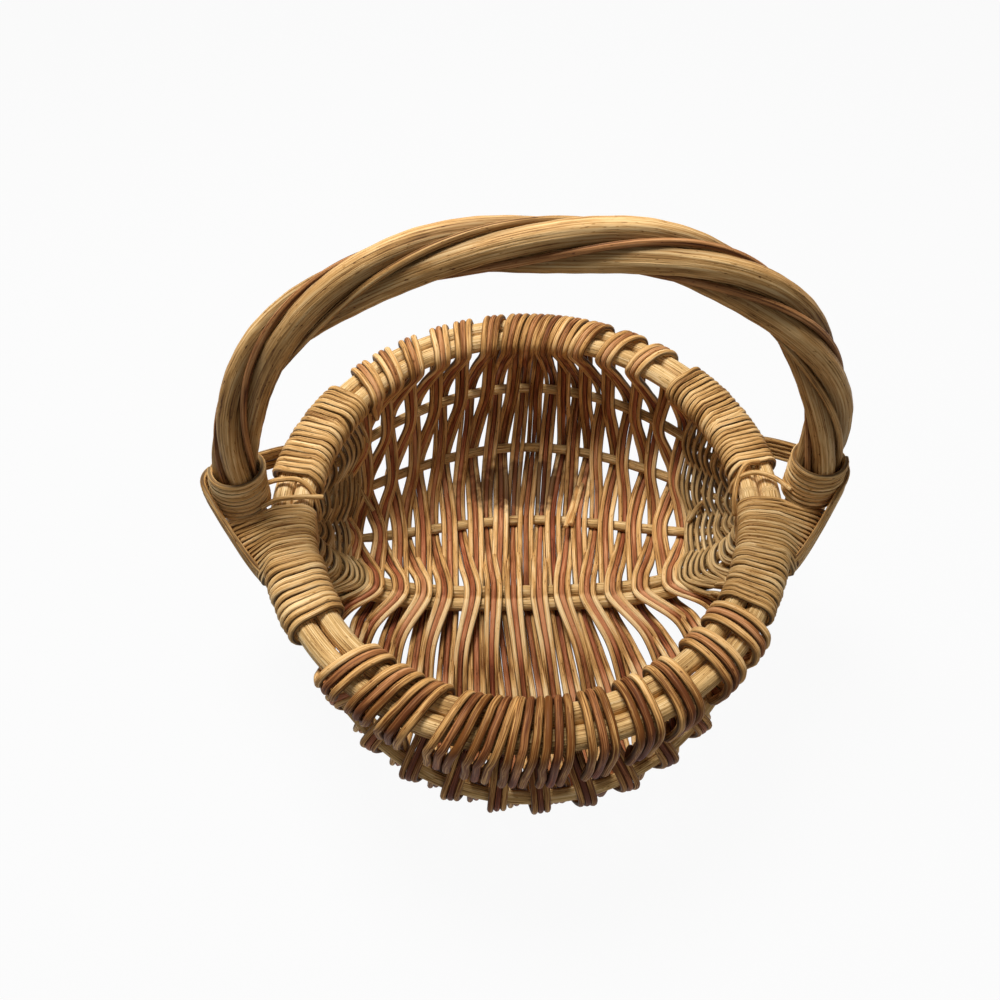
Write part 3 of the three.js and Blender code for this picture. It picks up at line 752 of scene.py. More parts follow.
# %% Where the bands cross the rods
EVEN_AT_KEEL = (-84, -70.5, -57.5, -45.8, -30, -18.3, -7.2, 6.8, 19.5, 33.5, 48, 63.5, 80.2)
EVEN_AT_BACK_MIDDLE = (-93.5, -81, -68.7, -54, -39, -21, -3.5, 14.6, 31.5, 46, 62, 78, 90)
EVEN_AT_FRONT_UPPER = (-101.4, -85.7, -68.9, -51.5, -34, -14.9, 3, 22.3, 40.1, 57.6, 73.2, 87, 97)
ODD_AT_BACK_UPPER = (-92.2, -81.7, -68.7, -54.8, -39.1, -22.7, -6.6, 8.6, 26, 39.6, 53.4, 68.8, 81.1)
ODD_AT_BACK_LOWER = (-97.9, -86.1, -75.2, -61.6, -45.9, -29.8, -14.2, 0.9, 17.2, 33, 49.2, 65.6, 80.5)
BACK_LOOPS = (-83, -73, -61, -45.5, -33, -17, -4, 7.4, 17, 27, 38, 54.5, 70)
FRONT_LOOPS = (-72, -59, -46.6, -28.6, -15.4, -3.3, 9, 24.5, 41, 56, 74, 86)
EVEN_AT_FRONT_LOWER = (-100, -86.5, -70.5, -53.5, -36, -18.5, -1.5, 14, 33, 51.5, 71, 86.5, 99)
EVEN_BEFORE_KEEL = (-97, -84.5, -69.5, -53, -35.5, -19.5, -4.5, 10.5, 28, 46, 65, 83.5, 98)
EDGE_STEP = 6.8
TUCK_AT_RIB = 1.2
TUCK_AT_KEEL = 3.6
FARTHEST = 104.0
SIDE_SOFTNESS = 12


def between(places, first, tuck):
    """Places halfway between neighbours, tucked towards the nearer ear, with one more at an end."""
    places = np.asarray(places, float)
    middles = (places[1:] + places[:-1]) / 2
    if first:
        middles = np.concatenate([[places[0] - EDGE_STEP], middles])
    else:
        middles = np.concatenate([middles, [places[-1] + EDGE_STEP]])
    return middles + tuck * np.tanh(middles / SIDE_SOFTNESS)


even_places = np.stack([
    EVEN_AT_FRONT_UPPER,
    np.mean([EVEN_AT_FRONT_UPPER, EVEN_AT_FRONT_LOWER], axis=0),
    EVEN_AT_FRONT_LOWER,
    EVEN_AT_KEEL,
    EVEN_AT_KEEL,
    between(ODD_AT_BACK_LOWER, False, TUCK_AT_RIB),
    EVEN_AT_BACK_MIDDLE,
    between(ODD_AT_BACK_UPPER, False, 0),
], axis=1)
odd_places = np.stack([
    *[between(even_places[:, rib], True, 0) for rib in range(3)],
    between(EVEN_AT_KEEL, True, TUCK_AT_KEEL),
    between(EVEN_AT_KEEL, True, TUCK_AT_KEEL),
    ODD_AT_BACK_LOWER,
    between(EVEN_AT_BACK_MIDDLE, True, TUCK_AT_RIB),
    ODD_AT_BACK_UPPER,
], axis=1)
even_places = np.clip(even_places, -FARTHEST, FARTHEST)
odd_places = np.clip(odd_places, -FARTHEST, FARTHEST)
print(len(even_places), "even and", len(odd_places), "odd passes")

# %% [markdown]
# On the inner side of a rod the three strands of a band lie flat. Where the band goes behind a rod it
# leans over and tucks behind its neighbour, which opens the small holes beside the ribs. In front of
# the keel the passes change sides late, so the even ones stay on top. Each control point below has that
# lean and that height, and the strands are drawn as smooth curves through their own points.

# %% Find the way out of the bowl
LAST_ROD = len(frame_rods) - 1
NEARBY = 2


def crossing(index, x):
    """Middle of a rod under a band, the way along the rod and the way out of the bowl."""
    rod = frame_rods[index]
    here = rod_point(rod, x)
    along = units(rod_point(rod, x + NEARBY) - rod_point(rod, x - NEARBY))
    if rod["radius"] == KEEL_RADIUS:
        run = np.array([0.0, 1.0, 0.0])
    else:
        before = rod_point(frame_rods[index - 1], x) if index > 0 else rim_point(rim_turn(x, -1))
        after = rod_point(frame_rods[index + 1], x) if index < LAST_ROD else rim_point(rim_turn(x, 1))
        run = units(after - before)
    return here, along, units(np.cross(run, along))


def wall_place(index, share, x, side):
    """Point between the rim and the rib next to it, with the way along and the way out of the bowl."""
    here, along, outward = crossing(index, x)
    return rim_point(rim_turn(x, side)) * (1 - share) + here * share, along, outward


print("under the keel the way out is", np.round(crossing(3, 0.0)[2], 2))

# %% Lay one pass
EVEN_SIDES = (1, -1, 1, -1, -1, 1, -1, 1)
ODD_SIDES = tuple(-side for side in EVEN_SIDES)
LEAN_BETWEEN = math.radians(16)
LEAN_BEHIND = math.radians(34)
LEAN_FRONT = math.radians(14)
WALL_STRAND = 1.45
FLOOR_STRAND = 1.42
FLOOR_SINK = 0.45
KEEL_STRAND = 1.66
BAND_CLOSE = 0.97
LIE_CLOSE = 0.1
WOBBLE = 0.08
FRONT_LOOP_STRAND = 1.85
FRONT_LOOP_LOOSE = 1.12
LATE_CROSSING = 2.1
FLOOR_RODS = (2, 3, 4, 5)
LOWER_RIBS = (2, 5)


def pass_rows(places, sides, strand, front_end, back_end, before_keel=None):
    """Control rows of one strand of a pass from the front rim to the back rim.

    A row is the place, the radius and the way beside. Each end is a list of how far from the rim to the
    first rib, how far out of the wall, X and radius."""
    spots = [crossing(i, x) for i, x in enumerate(places)]
    front_rim = rim_point(rim_turn(places[0], -1))
    back_rim = rim_point(rim_turn(places[-1], 1))
    middles = [front_rim] + [spot[0] for spot in spots] + [back_rim]
    tilt = math.tanh(places[4] / SIDE_SOFTNESS)
    rows = []

    def lay(middle, along, outward, lift, lean, radius, close=BAND_CLOSE):
        """Add a row beside the middle line of the band; a lean tips the band over on its edge."""
        beside = units(math.cos(lean) * along + math.sin(lean) * tilt * outward)
        place = middle + outward * lift + strand * 2 * radius * close * beside + rng.normal(0, WOBBLE, 3)
        rows.append(np.concatenate([place, [radius], beside]))

    for share, lift, x, radius in front_end:
        close = FRONT_LOOP_LOOSE if radius == FRONT_LOOP_STRAND else BAND_CLOSE
        lay(*wall_place(0, share, x, -1), lift, 0.0, radius, close)
    for i, (middle, along, outward) in enumerate(spots):
        radius = KEEL_STRAND if i in FLOOR_RODS else WALL_STRAND
        stand = rod_radius(frame_rods[i], places[i]) + radius + LIE_CLOSE
        lean = 0.0
        if sides[i] > 0:
            lean = LEAN_FRONT if i == 0 else LEAN_BEHIND
        if sides[i] > 0 and i in LOWER_RIBS:
            lean, radius = 0.0, FLOOR_STRAND
            stand = rod_radius(frame_rods[i], places[i]) + radius - FLOOR_SINK
        clear = radius * math.sin(lean) * abs(tilt)
        lay(middle, along, outward, sides[i] * (stand + clear), lean, radius)
        if i == LAST_ROD or sides[i + 1] == sides[i]:
            continue
        after = middles[i + 3] if i + 3 < len(middles) else middles[i + 2]
        halfway = (9 * middle + 9 * middles[i + 2] - middles[i] - after) / 16
        late = 0.0
        if i == LOWER_RIBS[0]:
            halfway[0] = halfway[0] if before_keel is None else before_keel
            late = LATE_CROSSING * sides[i + 1]
        upright = units(outward + spots[i + 1][2])
        lay(halfway, units(along + spots[i + 1][1]), upright, late, LEAN_BETWEEN, radius)
    for share, lift, x, radius in back_end:
        lay(*wall_place(LAST_ROD, share, x, 1), lift, LEAN_BETWEEN, radius)
    return rows


trial_end = [(0.5, -3, 3, WALL_STRAND)]
trial = pass_rows(even_places[6], EVEN_SIDES, 0, trial_end, trial_end)
print("one pass has", len(trial), "control points for each strand")

# %% [markdown]
# Between two passes the band goes round both rim rods. A circle would stand too high over two rods, so
# each loop follows an oval. The loops at the front are looser than those at the back: they bulge on the
# outside and hang down before they turn in.

# %% Lay one loop
LOOP_ARCH = 1.5
LOOP_GAP = 0.3
LOOP_FIRST = math.radians(-28)
LOOP_LAST = math.radians(208)
LOOP_POINTS = 11


def rim_way(turn):
    """Direction along the rim, towards the right on the front and on the back."""
    way = units(np.array([-rim_half_length * math.sin(turn), rim_half_depth * math.cos(turn), 0.0]))
    return way if way[0] > 0 else -way


def loop_rows(x, side, strand, radius, step, slant, bulge=0.0, sweep=math.pi):
    """Control rows of one strand round the rim, from its inner side over the top to its outer side.

    A loose loop bulges away from the rim on its outer side and hangs straight down there. A sweep below
    half a turn leaves part of the slant to the strand that hangs down."""
    turn = rim_turn(x, side)
    speed = rim_speed(turn)
    width = rod_shift + rim_rod_radius + radius + LOOP_GAP
    height = rim_rod_radius + radius + LOOP_ARCH
    rows = []
    for a in np.linspace(LOOP_FIRST, LOOP_LAST, LOOP_POINTS):
        share = -math.cos(sweep * (a - LOOP_FIRST) / (LOOP_LAST - LOOP_FIRST))
        ahead = strand * step + slant * share + rng.normal(0, WOBBLE)
        here = turn - side * ahead / speed
        reach = width if math.cos(a) > 0 else width + bulge
        across = math.cos(min(a, math.pi) if bulge else a)
        place = rim_point(here, reach * across, height * math.sin(a))
        rows.append(np.concatenate([place, [radius], rim_way(here)]))
    return rows


def tuck_row(x, side, inward, height, radius):
    """Control row of a strand's end that is tucked away beside the rim."""
    turn = rim_turn(x, side)
    return np.concatenate([rim_point(turn, inward, height), [radius], rim_way(turn)])


print("one loop has", LOOP_POINTS, "control points for each strand")

# %% [markdown]
# A pass and the loops at its ends have to meet. Even passes run inside the walls up to the rim. At the
# front the odd passes hang down outside the rim before they turn in under it, lowest in the middle of
# the basket. Ending passes and loops apart under the rim would be simpler, but the gaps would show.

# %% Join the passes to the loops
BACK_SLANT = 4.8
FRONT_SLANT_PLACES = (-20, 0, 20)
FRONT_SLANTS = (5.6, 3.2, 1.4)
EVEN_FRONT = (0.5, -3.5)
EVEN_BACK = (0.45, -3.0)
ODD_BACK = (0.4, 3.0)
HANG_SHARES = ((0.14, 0.11), (0.22, 0.25), (0.30, 0.27))
HANG_LIFTS = (11.6, 8.6, 2.2)
HANG_REACH = 92
LOW_SLANT = 1.35
TURN_IN = 0.3
weaver_count = len(EVEN_AT_KEEL)


def front_slant(i):
    """How far a front loop leans to the right at its inner end and to the left at its outer end."""
    return np.interp(FRONT_LOOPS[i - 1], FRONT_SLANT_PLACES, FRONT_SLANTS)


def even_ends(i):
    """Where an even pass runs between the rim and the ribs next to it, inside both walls."""
    front_x, back_x = even_places[i][0], even_places[i][-1]
    front_loop_end = FRONT_LOOPS[i - 1] + front_slant(i) if i > 0 else front_x
    back_loop_end = BACK_LOOPS[i + 1] - BACK_SLANT if i + 1 < weaver_count else back_x
    front_end = [(*EVEN_FRONT, (front_x + front_loop_end) / 2, WALL_STRAND)]
    return front_end, [(*EVEN_BACK, (back_x + back_loop_end) / 2, WALL_STRAND)]


def odd_ends(i):
    """Where an odd pass hangs down outside the front rim, lowest in the middle, and leaves the back rim."""
    front_x, back_x = odd_places[i][0], odd_places[i][-1]
    front_loop_end = FRONT_LOOPS[i - 1] - front_slant(i) if i > 0 else front_x
    front_low_end = FRONT_LOOPS[i - 1] - LOW_SLANT * front_slant(i) if i > 0 else front_x
    back_loop_end = BACK_LOOPS[i] + BACK_SLANT
    turned_in = front_low_end * (1 - TURN_IN) + front_x * TURN_IN
    middle = max(0.0, 1 - (front_x / HANG_REACH) ** 2)
    drops = [least + more * middle for least, more in HANG_SHARES]
    hanging = [
        (drops[0], HANG_LIFTS[0], front_loop_end, FRONT_LOOP_STRAND),
        (drops[1], HANG_LIFTS[1], front_low_end, FRONT_LOOP_STRAND),
        (drops[2], HANG_LIFTS[2], turned_in, WALL_STRAND),
    ]
    return hanging, [(*ODD_BACK, (back_x + back_loop_end) / 2, WALL_STRAND)]


print("an odd pass ends in", len(odd_ends(1)[0]), "points outside the front rim")

# %% [markdown]
# Now the band is followed through the whole basket: up an even pass, over the back rim, down an odd
# pass, over the front rim and up again. The curve is drawn once for each of the three strands and cut
# inside the front wall, where it runs straight, so that each cut length is one weaver of the frame and
# the cuts don't show.

# %% Follow the band
BACK_LOOP_STRAND = 1.75
FRONT_LOOP_BULGE = 2.0
FRONT_LOOP_SWEEP = math.radians(140)


def back_loop(i, strand, slack):
    step = 2 * BACK_LOOP_STRAND * slack[0]
    return loop_rows(BACK_LOOPS[i], 1, strand, BACK_LOOP_STRAND, step, BACK_SLANT * slack[1])


def front_loop(i, strand, slack):
    step = 2 * FRONT_LOOP_STRAND * FRONT_LOOP_LOOSE * slack[0]
    slant = front_slant(i) * slack[1]
    looseness = (FRONT_LOOP_BULGE, FRONT_LOOP_SWEEP)
    return loop_rows(FRONT_LOOPS[i - 1], -1, strand, FRONT_LOOP_STRAND, step, -slant, *looseness)[::-1]


def follow_band(strand, slacks):
    """All control rows of one strand, and the rows at which it is cut into weavers."""
    first_length = [tuck_row(BACK_LOOPS[0] - 4, 1, 9, -16, WALL_STRAND)]
    first_length += back_loop(0, strand, slacks[0])
    first_length += pass_rows(odd_places[0], ODD_SIDES, strand, *odd_ends(0))[::-1]
    first_length.append(tuck_row(odd_places[0][0] + 4, -1, -4, -8, WALL_STRAND))
    rows = [tuck_row(even_places[0][0] + 4, -1, 5, -8, WALL_STRAND)]
    cuts = [0]
    for i in range(weaver_count):
        rows += pass_rows(even_places[i], EVEN_SIDES, strand, *even_ends(i), EVEN_BEFORE_KEEL[i])
        if i + 1 == weaver_count:
            break
        rows += back_loop(i + 1, strand, slacks[2 * i + 1])
        rows += pass_rows(odd_places[i + 1], ODD_SIDES, strand, *odd_ends(i + 1))[::-1]
        rows += front_loop(i + 1, strand, slacks[2 * i + 2])
        cuts.append(len(rows))
    rows.append(tuck_row(even_places[-1][-1] - 3, 1, 7, -9, WALL_STRAND))
    cuts.append(len(rows) - 1)
    return first_length, rows, cuts


print("band of", 2 * weaver_count, "passes planned")

# %% [markdown]
# One tone for a whole strand would look printed, so tone and dye change along the band. The middle
# strand is reddish and has faded on top of the rim. Near the front rim, and less near the back rim,
# the strands are painted darker as painted shade. In front of the keel strands on top are painted
# lighter and strands underneath darker, as painted light and shade.

# %% Weave the bands
STRAND_STEP = 2.0
TONE_STEP = 60
# Painted shade near the front rim and, weaker, near the back rim.
FRONT_PAINTED_SHADE = 0.85
FRONT_PAINTED_SHADE_RAMP = (95, 15)
BACK_PAINTED_SHADE = 0.35
BACK_PAINTED_SHADE_RAMP = (100, 12)
# Painted light on strands lying on top in front of the keel, and painted shade on those underneath.
TOP_LIGHT_AND_UNDER_SHADE = 0.7
RAISED_BY = 2
LEAST_RAISED = -0.5
FADE = 0.35
FADE_RAMP = (-16, 12)


def raised(line):
    """In front of the keel, 1 where a strand lies on top and -0.5 where it lies underneath; 0 elsewhere."""
    rib, keel = frame_rods[2], frame_rods[3]
    far = rib["spread"] * fall(line[:, 0], SPREAD_POWER) - keel["spread"]
    share = ramp(line[:, 1], keel["spread"], far)
    depth = keel["depth"] * (1 - share) + rib["depth"] * share
    above = line[:, 2] + depth * fall(line[:, 0], DEPTH_POWER)
    return np.clip(above / RAISED_BY, LEAST_RAISED, 1) * (share > 0) * (share < 1)


def dyed_tube(rows, strand, worn):
    """Tube of one strand of the band, and the place of each control row among its rings."""
    line, marks = smooth_line(rows, STRAND_STEP)
    arcs = arcs_of(line[:, :3])
    knots = np.arange(0, arcs[-1] + TONE_STEP, TONE_STEP)
    tones = np.interp(arcs, knots, rng.uniform(0.1, 0.9, len(knots)))
    # Painted shade near the front rim here, and near the back rim on the next line.
    tones = tones - FRONT_PAINTED_SHADE * ramp(-line[:, 1], *FRONT_PAINTED_SHADE_RAMP)
    # Painted light on top and painted shade underneath, in front of the keel.
    tones = tones - BACK_PAINTED_SHADE * ramp(line[:, 1], *BACK_PAINTED_SHADE_RAMP) + TOP_LIGHT_AND_UNDER_SHADE * raised(line)
    dye = np.zeros(len(line))
    if strand == 0:
        faded = ramp(line[:, 2], *FADE_RAMP)
        dye = np.interp(arcs, knots, rng.uniform(0.75, 1.0, len(knots))) * (1 - FADE * faded)
    return tube(line[:, :3], line[:, 3], tones, dye, line[:, 4:], worn=worn), marks


step_slacks = rng.uniform(0.97, 1.04, 2 * weaver_count)
slant_slacks = rng.uniform(0.85, 1.15, 2 * weaver_count)
slacks = np.stack([step_slacks, slant_slacks], axis=1)
weaver_tubes = [[] for _ in range(weaver_count)]
for strand in (-1, 0, 1):
    first_length, rows, cuts = follow_band(strand, slacks)
    weaver_tubes[0].append(dyed_tube(first_length, strand, True)[0])
    whole, marks = dyed_tube(rows, strand, False)
    for i in range(weaver_count):
        weaver_tubes[i].append(cut_length(whole, marks[cuts[i]], marks[cuts[i + 1]]))
print("cut three strands into", weaver_count, "lengths each")

# %% [markdown]
# A few strands ended short while the basket was woven. Two of their cut ends lie over a rib on the back
# wall. No rule says where a strand runs out, so their places are listed one by one.

# %% Lay the loose ends and make the weavers
LOOSE_ENDS = (
    ((6, 0.45, 35.5, 0.5), (6, 0.75, 32.5, -4.5), (5, 0.02, 29.5, -7.2), (5, 0.16, 27.5, -7.6)),
    ((6, 0.5, 32.5, 0.5), (6, 0.8, 29.6, -4.5), (5, 0.05, 26.2, -7.2), (5, 0.2, 24.2, -7.4)),
)
LOOSE_WEAVER = 9


def loose_line(places):
    """Points of a short strand, each placed by a rod, how far to the rod in front of it, X and lift."""
    rows = []
    for index, share, x, lift in places:
        here, _, outward = crossing(index, x)
        rows.append(here * (1 - share) + rod_point(frame_rods[index - 1], x) * share + outward * lift)
    return smooth_line(rows, STRAND_STEP)[0]


for places in LOOSE_ENDS:
    weaver_tubes[LOOSE_WEAVER].append(tube(loose_line(places), WALL_STRAND, rng.uniform(0.4, 0.7)))
for i, strands in enumerate(weaver_tubes):
    node = f"weaver_{i + 1:02d}"
    make_piece(node, strands, "weaver", node)
print("wove", weaver_count, "weavers of three strands")

# %% [markdown]
# ## Ear strands
# Beside each ear the band stops and finer single strands close the gap. They bend in a chevron over the
# keel and vanish under the windings of the rim. Nearest to the ear every other one is short and stops
# at the middle ribs. Placing them one by one would take long, so they are spread by rule between the
# last band and the ear.

# %% Lay one ear strand
EAR_STRAND = 1.35
EAR_WOBBLE = 0.2
EAR_TUCK = -7
RIM_MARGIN = 0.02
SHARE_POINTS = 200


def ear_rows(rods, places, sides):
    """Control rows of a fine strand over and under some of the rods."""
    rows = []
    for i, x in zip(rods, places):
        middle, along, outward = crossing(i, x)
        stand = rod_radius(frame_rods[i], x) + EAR_STRAND + LIE_CLOSE
        place = middle + outward * sides[i] * stand + rng.normal(0, EAR_WOBBLE, 3)
        rows.append(np.concatenate([place, [EAR_STRAND], along]))
    return rows


def tucked_in(rows, places):
    """The same rows with both ends tucked in under the rim."""
    front = tuck_row(places[0], -1, 0, EAR_TUCK, EAR_STRAND)
    return [front] + rows + [tuck_row(places[-1], 1, 0, EAR_TUCK, EAR_STRAND)]


def further_along(rod, x, share):
    """Place on a rod a share of the way from x up to the ear."""
    top = math.asin(1 - RIM_MARGIN / rim_half_length)
    angles = np.linspace(math.asin(abs(x) / rim_half_length), top, SHARE_POINTS)
    xs = rim_half_length * np.sin(angles)
    arcs = arcs_of(np.array([rod_point(rod, value) for value in xs]))
    return math.copysign(np.interp(share * arcs[-1], arcs, xs), x)


print("ear strands are", 2 * EAR_STRAND, "mm thick")

# %% Close the weave at the ears
EAR_PIECES = 4
EAR_STRANDS = 12
EAR_FIRST = 5.4
EAR_STEP_AT_KEEL = 2.9
EAR_BELOW = 1.5
EAR_CROWDING = {-1: 0.9, 1: 1.0}
EAR_FARTHEST = 106.5
EAR_GAINS = np.array([0.42, 0.55, 0.8, 1.0, 1.0, 0.8, 0.72, 0.75])
SHORT_STRANDS = 18
SHORT_FIRST = 0.36
SHORT_LAST = 0.8
SHORT_RODS = (1, 2, 3, 4, 5, 6)
EAR_STUBS = {
    -1: ((7, 0.6, -96.0, 0.0), (6, 0.2, -93.5, -4.0), (6, 0.45, -91.0, -5.5)),
    1: ((6, 0.2, 101.5, -2.5), (6, 0.5, 99.0, -5.0), (6, 0.75, 96.5, -6.0)),
}
all_rods = range(len(frame_rods))
for side, label, edge in ((-1, "left", even_places[0]), (1, "right", even_places[-1])):
    lines = []
    for number in range(EAR_STRANDS):
        over_keel = number % 2 == 0
        ahead = EAR_FIRST + EAR_STEP_AT_KEEL * (number // 2) + (0.0 if over_keel else EAR_BELOW)
        reach = np.abs(edge) + EAR_GAINS * (ahead * EAR_CROWDING[side])
        places = np.clip(reach, 0, EAR_FARTHEST) * side
        rows = ear_rows(all_rods, places, EVEN_SIDES if over_keel else ODD_SIDES)
        lines.append(smooth_line(tucked_in(rows, places), STRAND_STEP)[0])
    for number, share in enumerate(np.linspace(SHORT_FIRST, SHORT_LAST, SHORT_STRANDS)):
        rods = all_rods if number % 2 else SHORT_RODS
        places = [further_along(frame_rods[i], edge[i], share) for i in rods]
        rows = ear_rows(rods, places, EVEN_SIDES if number % 4 < 2 else ODD_SIDES)
        if number % 2:
            rows = tucked_in(rows, places)
        lines.append(smooth_line(rows, STRAND_STEP)[0])
    pieces = [[] for _ in range(EAR_PIECES)]
    for number, line in enumerate(lines):
        strand = tube(line[:, :3], line[:, 3], rng.uniform(0.15, 0.85), beside=line[:, 4:])
        pieces[number * EAR_PIECES // len(lines)].append(strand)
    pieces[0].append(tube(loose_line(EAR_STUBS[side]), EAR_STRAND, rng.uniform(0.3, 0.6)))
    for i, strands in enumerate(pieces):
        node = f"ear_weaver_{label}_{i + 1}"
        make_piece(node, strands, "binding", node, finish="ear_strand")
print("laid", 2 * (EAR_STRANDS + SHORT_STRANDS), "ear strands")

# %% [markdown]
# ## Rim bindings
# From each ear a strand is wound tightly round both rim rods until it meets the first band. A winding
# is a helix round an oval of two circles, so its points come from a loop over the turns. No two turns
# lie quite alike, and the winding at the back right is spliced from two lengths.

# %% Wind the rim
WIND_POINTS = 20
WIND_UNEVEN = 0.3
WIND_SLOPE = 0.5
WIND_SLOPE_SPREAD = 0.75
WIND_PUFF = 0.32
WIND_SNUG = 0.485
EAR_FAN = 3.2
QUARTER_POINTS = 400
TINY_TURN = 1e-6
# Name, ear, side, first and last length from the ear, and step from turn to turn.
WINDINGS = (
    ("left_front", -1, -1, 39.0, 78.0, 3.55),
    ("left_back", -1, 1, 11.0, 74.0, 3.4),
    ("right_front", 1, -1, 37.0, 72.0, 2.8),
    ("right_back", 1, 1, 13.0, 46.0, 2.75),
    ("right_back", 1, 1, 44.0, 86.0, 3.05),
)


def turn_at(ear, side, arc):
    """Angle on the rim oval at a length from the ear, towards the front (-1) or the back (+1)."""
    sweep = np.linspace(0, math.pi / 2, QUARTER_POINTS)
    angles = side * sweep if ear > 0 else side * (math.pi - sweep)
    line = np.array([rim_point(angle) for angle in angles])
    return np.interp(arc, arcs_of(line), angles)


def wound_line(ear, side, start, end, radius, step):
    """Points of a winding round both rods, and the tone and the way beside at each point."""
    turns = int((end - start) / step)
    reach = rim_rod_radius + radius + LIE_CLOSE
    knots = np.arange(turns + 2)
    uneven = rng.normal(0, WIND_UNEVEN, turns + 2)
    slopes = rng.normal(WIND_SLOPE, WIND_SLOPE_SPREAD, turns + 2)
    if side > 0:
        slopes = slopes - EAR_FAN * np.clip(1 - knots / turns, 0, 1) ** 2
    puffs = np.abs(rng.normal(0, WIND_PUFF, turns + 2))
    tones = rng.uniform(0.1, 0.9, turns + 2)
    line, beside = [], []
    shares_round = np.arange(turns * WIND_POINTS + 1) / WIND_POINTS
    for share in shares_round:
        wrap = 2 * math.pi * share - math.pi / 2
        slope = np.interp(share, knots, slopes) * math.cos(wrap)
        arc = start + share * step + np.interp(share, knots, uneven) + slope
        out = reach + np.interp(share, knots, puffs)
        inward = math.copysign(rod_shift, math.cos(wrap + TINY_TURN)) + out * math.cos(wrap)
        turn = turn_at(ear, side, arc)
        line.append(rim_point(turn, inward, out * math.sin(wrap)))
        beside.append(rim_way(turn))
    return np.array(line), np.interp(shares_round, knots, tones), np.array(beside)


binding_tubes = {}
for label, ear, side, start, end, step in WINDINGS:
    radius = step * WIND_SNUG
    line, tones, beside = wound_line(ear, side, start, end, radius, step)
    binding_tubes.setdefault(label, []).append(tube(line, radius, tones, beside=beside))
print("wound", len(binding_tubes), "rim bindings")

# %% [markdown]
# ## Saddles
# In front of each handle leg a fan of fine strands is carried from the leg over the rim and down its
# inner side. Their outer bends lie along a slanting line from the leg to the front of the rim. Each is
# one curve through a few points on the rim's round section, and the first ones bend round the leg.

# %% Carry the saddle strands over the rim
SADDLE_STRAND = 1.15
SADDLES = 15
SADDLE_FIRST = 9.5
SADDLE_LAST = 38.5
LEG_OFFSET = 135.06
LEG_CLEAR = 14.6
SADDLE_WAY = np.array([0.0, 1.0, 0.0])
FOLD_START = np.array([139.5, -13.0, 0.0])
FOLD_END = np.array([119.5, -43.5, -4.0])
FOLD_DROP = (0, 0, 2.2)
LEAD_LIFT = (0, 0, 0.8)
START_DROP = (0, 0, 3.0)
SADDLE_GAP = 0.2
UNDER_RIM = 2
SHOULDER = 140
OUTER_ARC = (125, 95)
INNER_ARC = (85, 50, 10, -25)
SADDLE_TUCK = 1.5
SADDLE_FOOT = -13
SADDLE_WOBBLE = 0.12
SADDLE_STEP = 2.2


def round_rod(turn, shift, reach, degrees):
    """Point on the round of a rim rod, from its inner side (0 degrees) over its top (90)."""
    angle = math.radians(degrees)
    return rim_point(turn, shift + reach * math.cos(angle), reach * math.sin(angle))


def saddle_line(ear, share):
    """Points of one strand of the fan, a share of the way from the leg to the front."""
    turn = turn_at(ear, -1, SADDLE_FIRST + (SADDLE_LAST - SADDLE_FIRST) * share)
    reach = rim_rod_radius + SADDLE_STRAND + SADDLE_GAP
    fold = (FOLD_START * (1 - share) + FOLD_END * share) * (ear, 1, 1)
    shoulder = round_rod(turn, -rod_shift, reach, SHOULDER)
    lead = fold * 0.5 + shoulder * 0.5 + LEAD_LIFT
    leg = np.array([ear * LEG_OFFSET, 0.0, lead[2]])
    away = np.linalg.norm(lead - leg)
    if away < LEG_CLEAR:
        lead = leg + (lead - leg) * LEG_CLEAR / away
    under = rim_point(turn, -rod_shift - UNDER_RIM, -reach - UNDER_RIM)
    places = [under * 0.6 + fold * 0.4 - START_DROP, fold - FOLD_DROP, fold, lead]
    places += [round_rod(turn, -rod_shift, reach, degrees) for degrees in OUTER_ARC]
    places += [round_rod(turn, rod_shift, reach, degrees) for degrees in INNER_ARC]
    places.append(rim_point(turn, rod_shift + reach - SADDLE_TUCK, SADDLE_FOOT))
    wobble = rng.normal(0, SADDLE_WOBBLE, (len(places), 3))
    return smooth_line(np.array(places) + wobble, SADDLE_STEP)[0]


for ear, label in ((-1, "left"), (1, "right")):
    for i in range(SADDLES):
        line = saddle_line(ear, i / (SADDLES - 1))
        strand = tube(line, SADDLE_STRAND, rng.uniform(0.1, 0.9), beside=SADDLE_WAY)
        binding_tubes[f"{label}_front"].append(strand)
for label, strands in binding_tubes.items():
    make_piece(f"rim_binding_{label}", strands, "binding", f"rim_binding_{label}")
print("carried", 2 * SADDLES, "saddle strands over the rim")

# %% [markdown]
# ## Handle
# Three thick rods are twisted together with three strands in their grooves. A twist could be made by
# turning a straight bundle with a modifier and bending it, but working out each rod along the arch
# keeps the lay even.

# %% Draw the middle line of the handle
HANDLE_HEIGHT = 141.0
HANDLE_POWER = 2.24
HANDLE_LEAN = 7.8
HANDLE_POINTS = 240
LEG_DROP = 26.0


def handle_axis():
    """Middle line of the handle from the left foot over the top to the right foot."""
    drop = np.arange(-LEG_DROP, 0, 1.0)
    left = np.stack([np.full_like(drop, -LEG_OFFSET), np.zeros_like(drop), drop], axis=1)
    right = left[::-1] * np.array([-1, 1, 1])
    angles = np.linspace(0, math.pi, FINE_POINTS)
    cosines = -np.cos(angles)
    rise = np.maximum(0, np.sin(angles)) ** (2 / HANDLE_POWER)
    x = LEG_OFFSET * np.sign(cosines) * np.abs(cosines) ** (2 / HANDLE_POWER) + HANDLE_LEAN * rise
    arch = np.stack([x, np.zeros_like(x), HANDLE_HEIGHT * rise], axis=1)
    return even_points(np.concatenate([left, arch, right]), HANDLE_POINTS)


